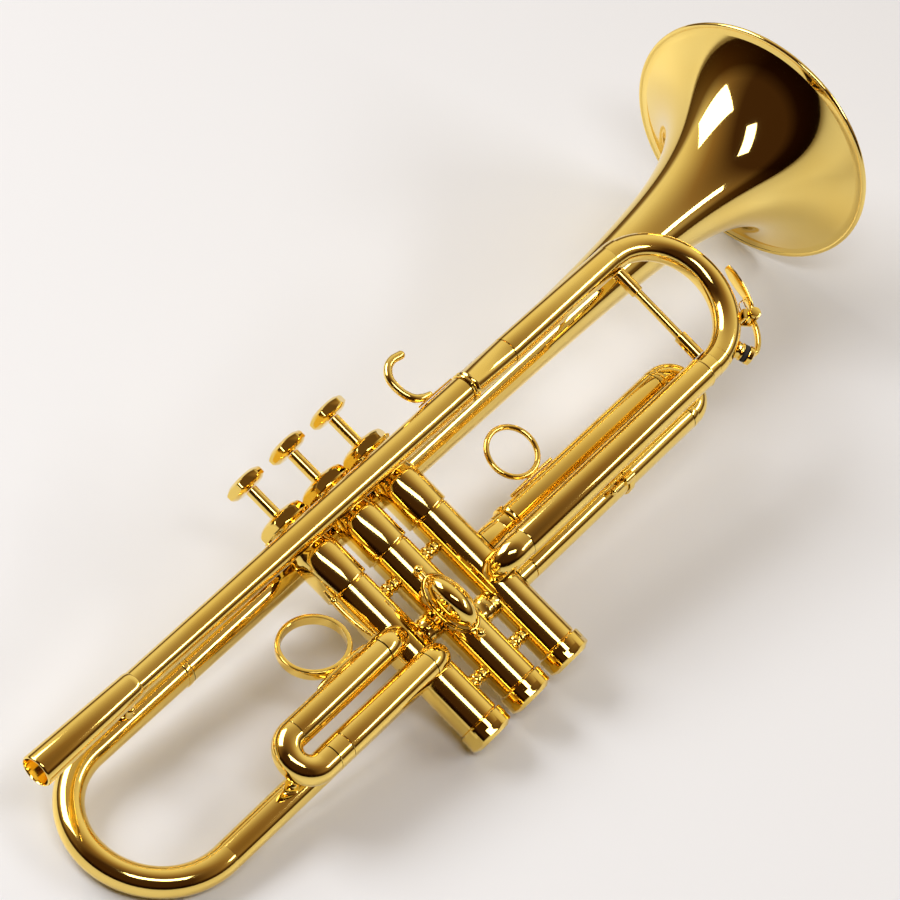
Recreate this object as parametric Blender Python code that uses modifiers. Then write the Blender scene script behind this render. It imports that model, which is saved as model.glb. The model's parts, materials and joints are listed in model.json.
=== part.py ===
"""Trumpet with three valves, lying on its left side, as separate pieces.

Horn frame (the frame every piece is modelled in, millimetres turned to metres by MM):
X runs forward to the bell, Y to the player's left, Z up through the valve buttons,
with the origin on the second valve's axis. The "horn" empty lays the whole horn down.
"""
from math import acos, cos, hypot, pi, radians, sin

import bmesh
import bpy
from mathutils import Matrix, Vector

MM = 0.001
GAP = 0.3                 # between pieces that touch or are cut by one another
SIDES = 12                # facets round an ordinary tube
WALL = 0.55               # brass tube wall
END = 0.8                 # short straight at the end of a bend

# The horn lies on its left side, on the bell's rim and the bell bow. DOWN is the way to
# the floor in the horn frame.
DOWN = (-0.1034, 0.9390, -0.3279)

# Valves
PITCH = 25.4
VALVES = (1, 2, 3)
CASING_R = 9.26
BALUSTER_R = 10.1
CASING_BORE = 8.4
CASING_TOP = 37.0
CASING_FOOT = -70.0
STEM_R = 2.6
BUTTON_R = 9.0
BUTTON_T = 5.8
BUTTON_Z = 61.5

# Leadpipe and tuning slide
LEAD_Y = -17.5
LEAD_Z = 30.0
RECEIVER_X = (-185.0, -131.7)
LEAD_X = (-150.0, 68.0)
LEAD_END_R = 6.13
SLEEVE_X = (68.4, 96.1)
SLEEVE_R = 6.45
TUNING_X = (96.4, 167.0)
TUNING_BOW_R = 6.1
BRACE_X = 166.4
LOWER_Y = -16.3
LOWER_Z = -31.4
LOWER_R = 6.57
LOWER_X = (37.3, 161.5)

# Water key
KEY_PIVOT = (41, 42.2)    # degrees below straight ahead, distance from the bow's centre
PIN_BORE = 0.86

# Third slide
THIRD_Z = (-20.6, -38.8)
THIRD_R = 6.3
THIRD_END = 150.0
THIRD_BOW_X = 153.6

# First slide
FIRST_Y = -15.0
FIRST_Z = (-24.3, -40.5)
FIRST_R = 6.16
FIRST_X = (-96.0, -43.7)
FIRST_LOWER_END = -84.4

# Second slide, turned back from straight sideways
SECOND_TURN = 21.0
SECOND_Z = -28.3
SECOND_HALF = 7.0

# Bell and bell bow
BELL_Y = 19.1
BELL_RIM_X = 301.4
BELL_RIM_Z = 30.8
BOW_X = -144.9
BOW_TOP_Z = 25.3
BOW_FOOT_Y = 2.0
BOW_FOOT_Z = -40.0
BOW_R = 6.25
BELL_TAIL_X = -93.0
BELL_BRACE_X = -127.0
BELL_R = 61.3
BEAD_R = 1.2

parts = None
cutters = None


def clear_scene():
    for obj in list(bpy.data.objects):
        bpy.data.objects.remove(obj, do_unlink=True)


def new_collection(name):
    group = bpy.data.collections.new(name)
    bpy.context.scene.collection.children.link(group)
    return group


def make_material(name, colour, roughness, metallic=1.0):
    mat = bpy.data.materials.new(name)
    mat.use_nodes = True
    shader = mat.node_tree.nodes["Principled BSDF"]
    shader.inputs["Base Color"].default_value = (*colour, 1.0)
    shader.inputs["Roughness"].default_value = roughness
    shader.inputs["Metallic"].default_value = metallic
    return mat


def register(obj, mat, parent):
    parts.objects.link(obj)
    obj.parent = parent
    if mat:
        obj.data.materials.append(mat)
    return obj


def empty(name, at, parent):
    obj = bpy.data.objects.new(name, None)
    obj.empty_display_size = 0.01
    obj.location = Vector(at) * MM
    obj.parent = parent
    parts.objects.link(obj)
    return obj


def aim(direction):
    """Rotation that turns local +Z onto the direction."""
    return Vector(direction).to_track_quat("Z", "Y").to_euler()


def mesh_of(bm, name):
    mesh = bpy.data.meshes.new(name)
    bm.to_mesh(mesh)
    bm.free()
    return mesh


def turned(name, profile, mat, parent, at=(0, 0, 0), axis=(0, 0, 1), sides=SIDES, closed=False):
    """Turn a profile of (height, radius) pairs about an axis; closed joins last to first."""
    bm = bmesh.new()
    points = [bm.verts.new((r * MM, 0, h * MM)) for h, r in profile]
    for a, b in zip(points, points[1:]):
        bm.edges.new((a, b))
    if closed:
        bm.edges.new((points[-1], points[0]))
    mesh = mesh_of(bm, name)
    obj = register(bpy.data.objects.new(name, mesh), mat, parent)
    obj.location = Vector(at) * MM
    obj.rotation_euler = aim(axis)
    screw = obj.modifiers.new("Turn", "SCREW")
    screw.steps = sides
    screw.render_steps = sides
    screw.use_merge_vertices = True
    screw.merge_threshold = 0.00001
    screw.use_smooth_shade = True
    return obj


def hollow(outer, inner):
    """Closed profile of a hollow turned piece; both lists run from low to high."""
    return list(reversed(outer)) + list(inner)


def pipe(name, x, r_out, r_in, mat, parent, y, z, sides=SIDES):
    """Straight hollow tube along +X; radii are one number or (near, far)."""
    out = r_out if isinstance(r_out, tuple) else (r_out, r_out)
    bore = r_in if isinstance(r_in, tuple) else (r_in, r_in)
    profile = hollow([(x[0], out[0]), (x[1], out[1])], [(x[0], bore[0]), (x[1], bore[1])])
    return turned(name, profile, mat, parent, (0, y, z), (1, 0, 0), sides, closed=True)


def path_curve(name, points, radius, caps, scale=None, sides_level=4, cyclic=False):
    curve = bpy.data.curves.new(name, "CURVE")
    curve.dimensions = "3D"
    curve.bevel_depth = radius * MM
    curve.bevel_resolution = sides_level
    curve.use_fill_caps = caps
    spline = curve.splines.new("POLY")
    spline.points.add(len(points) - 1)
    for i, p in enumerate(points):
        spline.points[i].co = (*(Vector(p) * MM), 1.0)
        if scale:
            spline.points[i].radius = scale[i]
    spline.use_cyclic_u = cyclic
    spline.use_smooth = True
    return curve


def bent_pipe(name, points, radius, mat, parent, scale=None, wall=WALL):
    """Hollow bent tube: an open curve surface thickened inwards."""
    curve = path_curve(name, points, radius, False, scale)
    obj = register(bpy.data.objects.new(name, curve), mat, parent)
    shell = obj.modifiers.new("Wall", "SOLIDIFY")
    shell.thickness = wall * MM
    shell.offset = -1.0
    return obj


def wire(name, points, radius, mat, parent, scale=None, cyclic=False, sides_level=2):
    curve = path_curve(name, points, radius, not cyclic, scale, sides_level, cyclic)
    return register(bpy.data.objects.new(name, curve), mat, parent)


def to_mesh(obj):
    """Turn a curve object into a welded mesh object of the same name and place."""
    graph = bpy.context.evaluated_depsgraph_get()
    mesh = bpy.data.meshes.new_from_object(obj.evaluated_get(graph))
    bm = bmesh.new()
    bm.from_mesh(mesh)
    bmesh.ops.remove_doubles(bm, verts=bm.verts, dist=0.00001)
    bmesh.ops.recalc_face_normals(bm, faces=bm.faces)
    bm.to_mesh(mesh)
    bm.free()
    name = obj.name
    parent = obj.parent
    local = obj.matrix_basis.copy()
    bpy.data.objects.remove(obj, do_unlink=True)
    new = bpy.data.objects.new(name, mesh)
    parts.objects.link(new)
    new.parent = parent
    new.matrix_basis = local
    return new


def fuse(obj, *others):
    """Join overlapping pieces to the first one as a single solid."""
    for other in others:
        name = other.name
        tool = to_mesh(other) if other.type == "CURVE" else other
        parts.objects.unlink(tool)
        cutters.objects.link(tool)
        tool.name = name + "_part"
        tool.hide_render = True
        tool.display_type = "WIRE"
        boolean(obj, tool, "UNION")
    return obj


def arc(centre, start, end, turn, steps):
    """Points from centre+start towards centre+end, two square vectors, through an angle."""
    c = Vector(centre)
    u = Vector(start)
    v = Vector(end)
    return [c + u * cos(turn * i / steps) + v * sin(turn * i / steps) for i in range(steps + 1)]


def rounded_path(corners, radius, steps=5):
    """Poly-line through the corners with each inner corner rounded by an arc."""
    pts = [Vector(p) for p in corners]
    path = [pts[0]]
    for before, corner, after in zip(pts, pts[1:], pts[2:]):
        a = (before - corner).normalized()
        b = (after - corner).normalized()
        half = acos(max(-1.0, min(1.0, a.dot(b)))) / 2
        inset = radius / (sin(half) / cos(half))
        centre = corner + (a + b).normalized() * (radius / sin(half))
        start = corner + a * inset - centre
        tangent = -a * radius
        path += [centre + start * cos(t) + tangent * sin(t)
                 for t in ((pi - 2 * half) * i / steps for i in range(steps + 1))]
    path.append(pts[-1])
    return path


def rod_mesh(name, radius, length, sides):
    """Solid round rod along Z, centred on its origin."""
    bm = bmesh.new()
    r = radius * MM
    bmesh.ops.create_cone(bm, cap_ends=True, segments=sides, radius1=r, radius2=r, depth=length * MM)
    return mesh_of(bm, name)


def cutter_object(name, mesh, parent):
    obj = bpy.data.objects.new(name, mesh)
    cutters.objects.link(obj)
    obj.parent = parent
    obj.hide_render = True
    obj.display_type = "WIRE"
    return obj


def casing_cutter(name, number, horn, radius=CASING_R + GAP):
    bm = bmesh.new()
    bmesh.ops.create_cone(bm, cap_ends=True, segments=32, radius1=radius * MM,
                          radius2=radius * MM, depth=0.13)
    obj = cutter_object(name, mesh_of(bm, name), horn)
    obj.location = Vector(((number - 2) * PITCH, 0, -20)) * MM
    return obj


def boolean(obj, tool, operation="DIFFERENCE"):
    cut = obj.modifiers.new(tool.name, "BOOLEAN")
    cut.operation = operation
    cut.object = tool


def hex_prism(name, across, height, at, parent, turn=0.0):
    bm = bmesh.new()
    bmesh.ops.create_cone(bm, cap_ends=True, segments=6, radius1=across * MM,
                          radius2=across * MM, depth=height * MM)
    obj = cutter_object(name, mesh_of(bm, name), parent)
    obj.location = Vector(at) * MM
    obj.rotation_euler = (0, 0, radians(turn))
    return obj


def ball(bm, radius, at, u=10, v=6):
    bmesh.ops.create_uvsphere(bm, u_segments=u, v_segments=v, radius=radius * MM,
                              matrix=Matrix.Translation(Vector(at) * MM))


def block(name, size, at, mat, parent, turn=(0, 0, 0)):
    bm = bmesh.new()
    bmesh.ops.create_cube(bm, size=1.0)
    bmesh.ops.scale(bm, vec=Vector(size) * MM, verts=bm.verts)
    obj = register(bpy.data.objects.new(name, mesh_of(bm, name)), mat, parent)
    obj.location = Vector(at) * MM
    obj.rotation_euler = [radians(t) for t in turn]
    return obj


# ---------------------------------------------------------------- valve block

def build_casing(number, horn, mats):
    x = (number - 2) * PITCH
    outer = [(CASING_FOOT, CASING_R), (3.8, CASING_R), (3.8, BALUSTER_R), (22.5, BALUSTER_R),
             (25.0, 9.3), (31.5, 9.1), (CASING_TOP, 9.5)]
    inner = [(CASING_FOOT, CASING_BORE), (CASING_TOP, CASING_BORE)]
    turned(f"valve_casing_{number}", hollow(outer, inner), mats["gold"], horn, (x, 0, 0), closed=True)


def build_top_cap(number, horn, mats):
    x = (number - 2) * PITCH
    name = f"top_cap_{number}"
    outer = [(33.0, 10.7), (37.4, 11.2), (37.7, 11.8), (38.5, 11.8), (40.6, 11.6), (43.0, 9.6), (44.0, 7.0),
             (44.0, 4.2), (44.4, 4.0)]
    inner = [(33.0, 9.8), (38.2, 9.8), (38.4, STEM_R + 0.1), (44.4, STEM_R + 0.1)]
    cap = turned(name, hollow(outer, inner), mats["cap"], horn, (x, 0, 0), closed=True)
    tool = hex_prism(f"{name}_hex", 11.4, 14.0, (x, 0, 39.0), horn, 15)
    ring = cutter_object(f"{name}_ring", rod_mesh(f"{name}_ring", 12.5, 7.0, 24), horn)
    ring.location = Vector((x, 0, 35.0)) * MM
    boolean(tool, ring, "UNION")
    boolean(cap, tool, "INTERSECT")


def build_bottom_cap(number, horn, mats):
    x = (number - 2) * PITCH
    name = f"bottom_cap_{number}"
    outer = [(-78.7, 7.6), (-77.2, 10.3), (-70.3, 10.3), (-70.3, 8.3), (-66.0, 8.3)]
    inner = [(-78.7, 2.0), (-76.5, 2.0), (-76.4, 7.2), (-66.0, 7.2)]
    cap = turned(name, hollow(outer, inner), mats["cap"], horn, (x, 0, 0), closed=True)
    tool = hex_prism(f"{name}_hex", 11.2, 20.0, (x, 0, -84.3), horn, 15)
    ring = cutter_object(f"{name}_ring", ring_keep_mesh(f"{name}_ring"), horn)
    ring.location = Vector((x, 0, -69.3)) * MM
    boolean(tool, ring, "UNION")
    boolean(cap, tool, "INTERSECT")


def ring_keep_mesh(name):
    """Fat disc that leaves the round ring of a bottom cap uncut."""
    return rod_mesh(name, 12.5, 10.2, 24)


def build_valve_action(number, axis_empty, mats):
    """Piston, stem with its stop, button and spring; all move down together."""
    foot = BUTTON_Z - BUTTON_T / 2 - GAP
    piston_r = CASING_BORE - 0.06
    body = [(foot, 0.0), (foot, STEM_R), (37.4, STEM_R), (37.4, 6.0), (27.0, 6.0), (27.0, piston_r),
            (-50.0, piston_r), (-50.0, 7.3), (24.3, 7.3), (24.3, 0.0)]
    turned(f"piston_{number}", body, mats["nickel"], axis_empty)
    build_button(number, axis_empty, mats)
    turns = 4
    steps = 6
    coil = [(6.2 * cos(2 * pi * i / steps), 6.2 * sin(2 * pi * i / steps), -2.0 + 25.0 * i / (turns * steps))
            for i in range(turns * steps + 1)]
    wire(f"valve_spring_{number}", coil, 0.45, mats["steel"], axis_empty, sides_level=0)


def build_button(number, axis_empty, mats):
    name = f"valve_button_{number}"
    half = BUTTON_T / 2
    lens = [(half, 0.0), (half, BUTTON_R - 2.5), (half - 1.7, BUTTON_R + 0.1), (1.6 - half, BUTTON_R + 0.1),
            (-half, BUTTON_R - 2.1), (-half, 0.0)]
    button = turned(name, lens, mats["cap"], axis_empty, (0, 0, BUTTON_Z))
    tool = hex_prism(f"{name}_hex", BUTTON_R + 0.3, 7.0, (0, 0, BUTTON_Z), axis_empty, 15)
    boolean(button, tool, "INTERSECT")


def build_links(horn, mats):
    """Windway links between the casings, and posts brazed to the middle casing."""
    copes = {number: casing_cutter(f"casing_cope_{number}", number, horn) for number in VALVES}
    for a, z in ((1, -29.7), (2, -39.3)):
        link = pipe(f"valve_link_{a}{a + 1}", (-12.0, 12.0), 5.6, 5.0, mats["gold"], horn, 0, z)
        link.location.x = (a - 1.5) * PITCH * MM
        for number in (a, a + 1):
            boolean(link, copes[number])
    for side in (-1, 1):
        for z in (-7.6, -57.4):
            name = f"casing_post_{side}_{z}"
            spool = [(5.2, 0.0), (5.2, 2.4), (2.6, 2.4), (2.2, 3.1), (0.9, 3.1), (0.4, 2.3), (-0.4, 2.3),
                     (-0.9, 3.1), (-2.2, 3.1), (-2.6, 2.4), (-4.0, 2.4), (-4.0, 0.0)]
            at = (side * PITCH / 2, -1.0, z)
            post = turned(name, spool, mats["gold"], horn, at, (side, 0, 0), 12)
            boolean(post, copes[2 + side])
            fuse(bpy.data.objects["valve_casing_2"], post)


def build_casing_rod(horn, mats):
    path = [(-36.5, -4, 8.2), (-36.7, -4, 3.5), (-36.9, -4, -3), (-36.6, -4, -9), (-35.8, -4, -14.5),
            (-35.3, -4, -16.5)]
    rod = wire("casing_rod", path, 1.3, mats["gold"], horn, [0.5, 0.9, 0.95, 1.0, 0.7, 0.5])
    rod = to_mesh(rod)
    bm = bmesh.new()
    ball(bm, 1.6, (-36.7, -4, 3.5))
    finial = cutter_object("casing_rod_ball", mesh_of(bm, "casing_rod_ball"), horn)
    boolean(rod, finial, "UNION")


# ------------------------------------------------------- leadpipe and tuning slide

def build_leadpipe(horn, mats):
    receiver = hollow([(RECEIVER_X[0], 6.6), (RECEIVER_X[0] + 0.8, 6.9), (RECEIVER_X[1], 5.75)],
                      [(RECEIVER_X[0], 5.85), (RECEIVER_X[1], 5.42)])
    turned("mouthpiece_receiver", receiver, mats["gold"], horn, (0, LEAD_Y, LEAD_Z), (1, 0, 0), 16, True)
    outer = [(LEAD_X[0], 5.1), (RECEIVER_X[1] - 1, 5.3), (LEAD_X[1], LEAD_END_R), (LEAD_X[1], 5.75),
             (150.0, 5.75)]
    inner = [(LEAD_X[0], 4.6), (LEAD_X[1], 5.3), (150.0, 5.3)]
    turned("leadpipe", hollow(outer, inner), mats["gold"], horn, (0, LEAD_Y, LEAD_Z), (1, 0, 0), closed=True)
    bead = [(SLEEVE_X[0], 6.3), (69.3, 6.85), (70.2, 6.5), (71.1, 6.85), (72.0, SLEEVE_R),
            (SLEEVE_X[1], SLEEVE_R)]
    turned("leadpipe_sleeve", hollow(bead, [(SLEEVE_X[0], 5.86), (SLEEVE_X[1], 5.86)]), mats["gold"],
           horn, (0, LEAD_Y, LEAD_Z), (1, 0, 0), closed=True)


def build_pinky_hook(horn, mats):
    curl = ((58.5, 57.6), (54.0, 58.3), (49.8, 57.0), (46.7, 53.5), (45.9, 49.0), (46.5, 44.4),
            (48.4, 40.8), (51.6, 38.9), (55.0, 38.5))
    path = [(x, LEAD_Y, z) for x, z in curl]
    hook = wire("pinky_hook_wire", path, 1.85, mats["gold"], horn)
    foot = block("pinky_hook_foot", (21.0, 3.6, 0.8), (57.5, LEAD_Y, 36.75), mats["gold"], horn, (0, -0.4, 0))
    fuse(foot, hook)
    foot.name = "pinky_hook"


def bow_point(angle, radius, side=0.0):
    """A point in the tuning bow's plane: degrees below straight ahead, distance from its centre."""
    centre = Vector((TUNING_X[1] + GAP + END, (LEAD_Y + LOWER_Y) / 2, (LEAD_Z + LOWER_Z) / 2))
    down = Vector((0, LOWER_Y - LEAD_Y, LOWER_Z - LEAD_Z)).normalized()
    across = Vector((1, 0, 0)).cross(down)
    a = radians(angle)
    return centre + (Vector((1, 0, 0)) * cos(a) + down * sin(a)) * radius + across * side


def build_tuning_slide(slide, mats):
    pipe("tuning_upper_tube", TUNING_X, SLEEVE_R, 5.83, mats["gold"], slide, LEAD_Y, LEAD_Z)
    pipe("tuning_lower_tube", (100.0, TUNING_X[1]), 6.08, 5.55, mats["gold"], slide, LOWER_Y, LOWER_Z)
    half = hypot(LEAD_Z - LOWER_Z, LEAD_Y - LOWER_Y) / 2
    path = [bow_point(-90 + 15 * i, half) for i in range(13)]
    straight = Vector((END, 0, 0))
    path = [path[0] - straight] + path + [path[-1] - straight]
    bent_pipe("tuning_bow", path, TUNING_BOW_R, mats["gold"], slide)
    top = LEAD_Z - SLEEVE_R - GAP
    foot = LOWER_Z + 6.08 + GAP
    middle = (top + foot) / 2
    half = (top - foot) / 2 - 0.4
    rod = [(half, 0.0), (half, 2.9), (half - 11.1, 2.9), (half - 11.6, 2.0), (11.6 - half, 2.0),
           (11.1 - half, 2.9), (-half, 2.9), (-half, 0.0)]
    lean = (0, (LEAD_Y - LOWER_Y) / (LEAD_Z - LOWER_Z), 1)
    mid_y = (LEAD_Y + LOWER_Y) / 2
    brace = turned("tuning_brace", rod, mats["gold"], slide, (BRACE_X, mid_y, middle), lean, 12)
    feet = [diamond(f"tuning_brace_foot_{i}", (BRACE_X, y, z), (0, 0, 1), 4.2, 0.8, slide, mats)
            for i, (y, z) in enumerate(((LEAD_Y, top - 0.4), (LOWER_Y, foot + 0.4)))]
    fuse(brace, *feet)


def diamond(name, at, axis, half, thick, parent, mats):
    """Four-cornered foot plate, longest along X."""
    bm = bmesh.new()
    r = half * MM
    bmesh.ops.create_cone(bm, cap_ends=True, segments=4, radius1=r, radius2=r, depth=thick * MM)
    bmesh.ops.scale(bm, vec=(1.0, 0.72, 1.0), verts=bm.verts)
    obj = register(bpy.data.objects.new(name, mesh_of(bm, name)), mats["gold"], parent)
    obj.location = Vector(at) * MM
    if axis != (0, 0, 1):
        z = Vector(axis).normalized()
        x = Vector((1, 0, 0))
        y = z.cross(x).normalized()
        obj.rotation_euler = Matrix((x, y, z)).transposed().to_euler()
    return obj


def build_lower_sleeve(horn, mats):
    outer = [(LOWER_X[0] + GAP, LOWER_R), (158.0, LOWER_R), (158.3, 6.8), (LOWER_X[1], 6.8)]
    inner = [(LOWER_X[0] + GAP, 6.15), (LOWER_X[1], 6.15)]
    turned("lower_slide_sleeve", hollow(outer, inner), mats["gold"], horn, (0, LOWER_Y, LOWER_Z),
           (1, 0, 0), closed=True)
    x = PITCH
    path = rounded_path([(x, -4, LOWER_Z), (x, LOWER_Y, LOWER_Z), (LOWER_X[0], LOWER_Y, LOWER_Z)], 8.0, 4)
    elbow = to_mesh(bent_pipe("lower_slide_elbow", path, 6.45, mats["gold"], horn))
    boolean(elbow, casing_cutter("lower_slide_elbow_cope", 3, horn))


# ------------------------------------------------------------------ water key

def build_water_key(slide, key, pivot, mats):
    out = bow_point(66, 1) - bow_point(66, 0)
    nipple = hollow([(37.1, 4.0), (38.4, 3.9), (39.2, 3.7)], [(37.1, 1.2), (39.2, 1.2)])
    turned("water_nipple", nipple, mats["gold"], slide, bow_point(66, 0), out, 12, True)
    build_saddle(slide, mats)
    screw_axis = bow_point(0, 0, 1) - bow_point(0, 0)
    screw = [(3.9, 0.0), (3.9, 0.8), (-4.3, 0.8), (-4.3, 2.5), (-5.8, 2.5), (-6.1, 2.2), (-6.1, 0.0)]
    turned("water_key_screw", screw, mats["cap"], slide, bow_point(*KEY_PIVOT), screw_axis, 12)

    def local(angle, radius, side=0.0):
        return bow_point(angle, radius, side) - pivot

    base = local(66, 0)
    turned("water_key_cork", [(41.3, 0.0), (41.3, 3.8), (39.5, 3.8), (39.5, 0.0)], mats["cork"], key,
           base, out, 12)
    cup = turned("water_key_cup", [(44.5, 0.0), (44.5, 3.0), (43.9, 4.2), (41.6, 4.2), (41.6, 0.0)],
                 mats["gold"], key, base, out, 12)
    barrel = hollow([(-2.4, 1.6), (2.4, 1.6)], [(-2.4, PIN_BORE), (2.4, PIN_BORE)])
    lever = turned("water_key_lever", barrel, mats["gold"], key, local(*KEY_PIVOT), screw_axis, 12, True)
    arm = [local(65, 43.6), local(62, 45.3), local(56, 45.6), local(49, 44.8), local(42, 42.9)]
    arm = wire("water_key_arm", arm, 1.5, mats["gold"], key)
    blade = [local(40, 42.9), local(34, 44.0), local(27, 43.4), local(20, 42.6), local(13, 42.3),
             local(7, 42.6)]
    blade = wire("water_key_blade", blade, 1.7, mats["gold"], key, [0.8, 0.8, 1.0, 1.2, 1.3, 1.0])
    fuse(lever, arm, blade, cup)
    boolean(lever, pin_hole("water_key_hole", (0, 0, 0), screw_axis, key))


def build_saddle(slide, mats):
    """U-shaped bracket whose two cheeks carry the water key's screw."""
    name = "water_key_saddle"
    at = bow_point(41, 40.7)
    out = (bow_point(41, 1) - bow_point(41, 0)).normalized()
    side = (bow_point(0, 0, 1) - bow_point(0, 0)).normalized()
    along = side.cross(out)
    frame = Matrix((along, side, out)).transposed().to_4x4()
    saddle = block(name, (4.6, 8.0, 6.8), at, mats["gold"], slide)
    saddle.rotation_euler = frame.to_euler()
    slot = slot_cutter(f"{name}_slot", (6.0, 5.2, 6.8), at + out * 1.4, frame, slide)
    boolean(saddle, slot)
    boolean(saddle, pin_hole(f"{name}_hole", bow_point(*KEY_PIVOT), side, slide))


def pin_hole(name, at, axis, parent):
    hole = cutter_object(name, rod_mesh(name, PIN_BORE, 20.0, 12), parent)
    hole.location = Vector(at) * MM
    hole.rotation_euler = aim(axis)
    return hole


def slot_cutter(name, size, at, frame, parent):
    bm = bmesh.new()
    bmesh.ops.create_cube(bm, size=1.0)
    bmesh.ops.scale(bm, vec=Vector(size) * MM, verts=bm.verts)
    obj = cutter_object(name, mesh_of(bm, name), parent)
    obj.location = at * MM
    obj.rotation_euler = frame.to_euler()
    return obj


# ---------------------------------------------------------------- valve slides

def build_third_fixed(horn, mats):
    upper, lower = THIRD_Z
    root = 36.0
    tip = 128.0
    collar = [(28.0, THIRD_R), (48.6, THIRD_R), (49.2, 6.95), (51.6, 6.95), (51.6, 5.7), (tip, 5.7)]
    plain = [(28.0, THIRD_R), (41.0, THIRD_R), (41.0, 5.7), (tip, 5.7)]
    cope = casing_cutter("third_sleeve_cope", 3, horn)
    for name, outer, z in (("upper", collar, upper), ("lower", plain, lower)):
        profile = hollow(outer, [(28.0, 5.2), (root, 5.2), (tip, 5.2)])
        sleeve = turned(f"third_inner_tube_{name}", profile, mats["gold"], horn, (0, 0, z), (1, 0, 0),
                        closed=True)
        boolean(sleeve, cope)


def build_third_slide(slide, mats):
    upper, lower = THIRD_Z
    for name, start, z in (("upper", 51.9, upper), ("lower", 41.3, lower)):
        pipe(f"third_outer_tube_{name}", (start, THIRD_END), THIRD_R, 5.77, mats["gold"], slide, 0, z)
    half = (upper - lower) / 2
    bend = arc((THIRD_BOW_X, 0, (upper + lower) / 2), (0, 0, half), (half, 0, 0), pi, 8)
    path = [(THIRD_END + GAP, 0, upper)] + bend + [(THIRD_END + GAP, 0, lower)]
    bent_pipe("third_bow", path, THIRD_R, mats["gold"], slide)
    rail = block("third_ring_rail", (33.0, 2.4, 1.2), (71.5, 0, -13.4), mats["gold"], slide)
    turns = [2 * pi * i / 24 for i in range(24)]
    ring = [(75.8 + 11.35 * cos(a), 0, -0.7 + 11.35 * sin(a)) for a in turns]
    ring = wire("third_ring_wire", ring, 1.25, mats["gold"], slide, cyclic=True, sides_level=1)
    fuse(rail, ring)
    rail.name = "third_finger_ring"
    band = hollow([(103.0, 7.2), (106.0, 7.2)], [(103.0, 6.6), (106.0, 6.6)])
    band = turned("third_slide_stop", band, mats["gold"], slide, (0, 0, lower), (1, 0, 0), closed=True)
    screw = [(104.6, 0.0), (104.6, 2.2), (98.8, 2.2), (98.8, 1.0), (92.4, 1.0), (91.9, 1.6), (91.0, 1.6),
             (90.4, 0.8), (90.4, 0.0)]
    screw = turned("third_stop_screw", screw, mats["gold"], slide, (0, -8.6, lower - 2.6), (1, 0, 0), 10)
    fuse(band, screw)


def build_first_fixed(horn, mats):
    upper, lower = FIRST_Z
    x = -PITCH
    corners = [(x - 4.0, -4.5, upper), (-38.2, FIRST_Y, upper), (FIRST_X[1] + GAP, FIRST_Y, upper)]
    path = rounded_path(corners, 9.0, 3)
    knuckle = to_mesh(bent_pipe("first_knuckle_upper", path, FIRST_R, mats["gold"], horn))
    boolean(knuckle, casing_cutter("first_knuckle_upper_cope", 1, horn))
    path = rounded_path([(x, -4, lower), (x, FIRST_Y, lower), (-33.0, FIRST_Y, lower)], 7.0, 4)
    elbow = to_mesh(bent_pipe("first_elbow_lower", path, FIRST_R, mats["gold"], horn))
    boolean(elbow, casing_cutter("first_elbow_lower_cope", 1, horn))
    pipe("first_sleeve_lower", (FIRST_LOWER_END, -33.3), FIRST_R, 5.62, mats["gold"], horn, FIRST_Y, lower)
    pipe("first_inner_tube_upper", (-90.0, FIRST_X[1]), 5.55, 5.05, mats["nickel"], horn, FIRST_Y, upper)


def build_first_slide(slide, mats):
    upper, lower = FIRST_Z
    pipe("first_tube_upper", (FIRST_X[0], FIRST_X[1] - GAP), FIRST_R, 5.62, mats["gold"], slide, FIRST_Y,
         upper)
    ferrule = FIRST_LOWER_END - GAP
    leg = hollow([(-92.0, 6.3), (ferrule, 6.3), (ferrule, 5.55), (-42.0, 5.55)],
                 [(-92.0, 5.05), (-42.0, 5.05)])
    turned("first_leg_lower", leg, mats["gold"], slide, (0, FIRST_Y, lower), (1, 0, 0), closed=True)
    half = (upper - lower) / 2
    bend = arc((-97.0, FIRST_Y, (upper + lower) / 2), (0, 0, half), (-half, 0, 0), pi, 8)
    path = [(-96.3, FIRST_Y, upper)] + bend + [(-92.3, FIRST_Y, lower)]
    bent_pipe("first_bow", path, 6.2, mats["gold"], slide)
    build_thumb_ring(slide, mats)


def build_thumb_ring(slide, mats):
    name = "first_thumb_ring"
    band = hollow([(-2.4, 14.8), (-1.2, 15.2), (1.2, 15.2), (2.4, 14.8)], [(-2.4, 13.1), (2.4, 12.9)])
    ring = turned(name, band, mats["gold"], slide, (-59.0, -6.8, -4.6), (0, 0.92, -0.4), 24, True)
    bm = bmesh.new()
    bmesh.ops.create_uvsphere(bm, u_segments=12, v_segments=8, radius=MM)
    bmesh.ops.scale(bm, vec=(15.0, 2.6, 2.0), verts=bm.verts)
    foot = cutter_object(f"{name}_foot", mesh_of(bm, f"{name}_foot"), slide)
    foot.location = Vector((-60.0, -13.1, -18.3)) * MM
    boolean(ring, foot, "UNION")
    tube = cutter_object(f"{name}_tube", rod_mesh(f"{name}_tube", FIRST_R + GAP, 60.0, 16), slide)
    tube.location = Vector((-62.0, FIRST_Y, FIRST_Z[0])) * MM
    tube.rotation_euler = aim((1, 0, 0))
    boolean(ring, tube)


def second_axis():
    turn = radians(SECOND_TURN)
    return Vector((-sin(turn), -cos(turn), 0.0))


def build_second_fixed(horn, mats):
    way = second_axis()
    cope = casing_cutter("second_sleeve_cope", 2, horn)
    for name, dz in (("upper", SECOND_HALF), ("lower", -SECOND_HALF)):
        tube = hollow([(5.0, 6.3), (15.7, 6.3)], [(5.0, 5.47), (15.7, 5.47)])
        sleeve = turned(f"second_sleeve_{name}", tube, mats["gold"], horn, (0, 0, SECOND_Z + dz), way,
                        closed=True)
        boolean(sleeve, cope)


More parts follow.
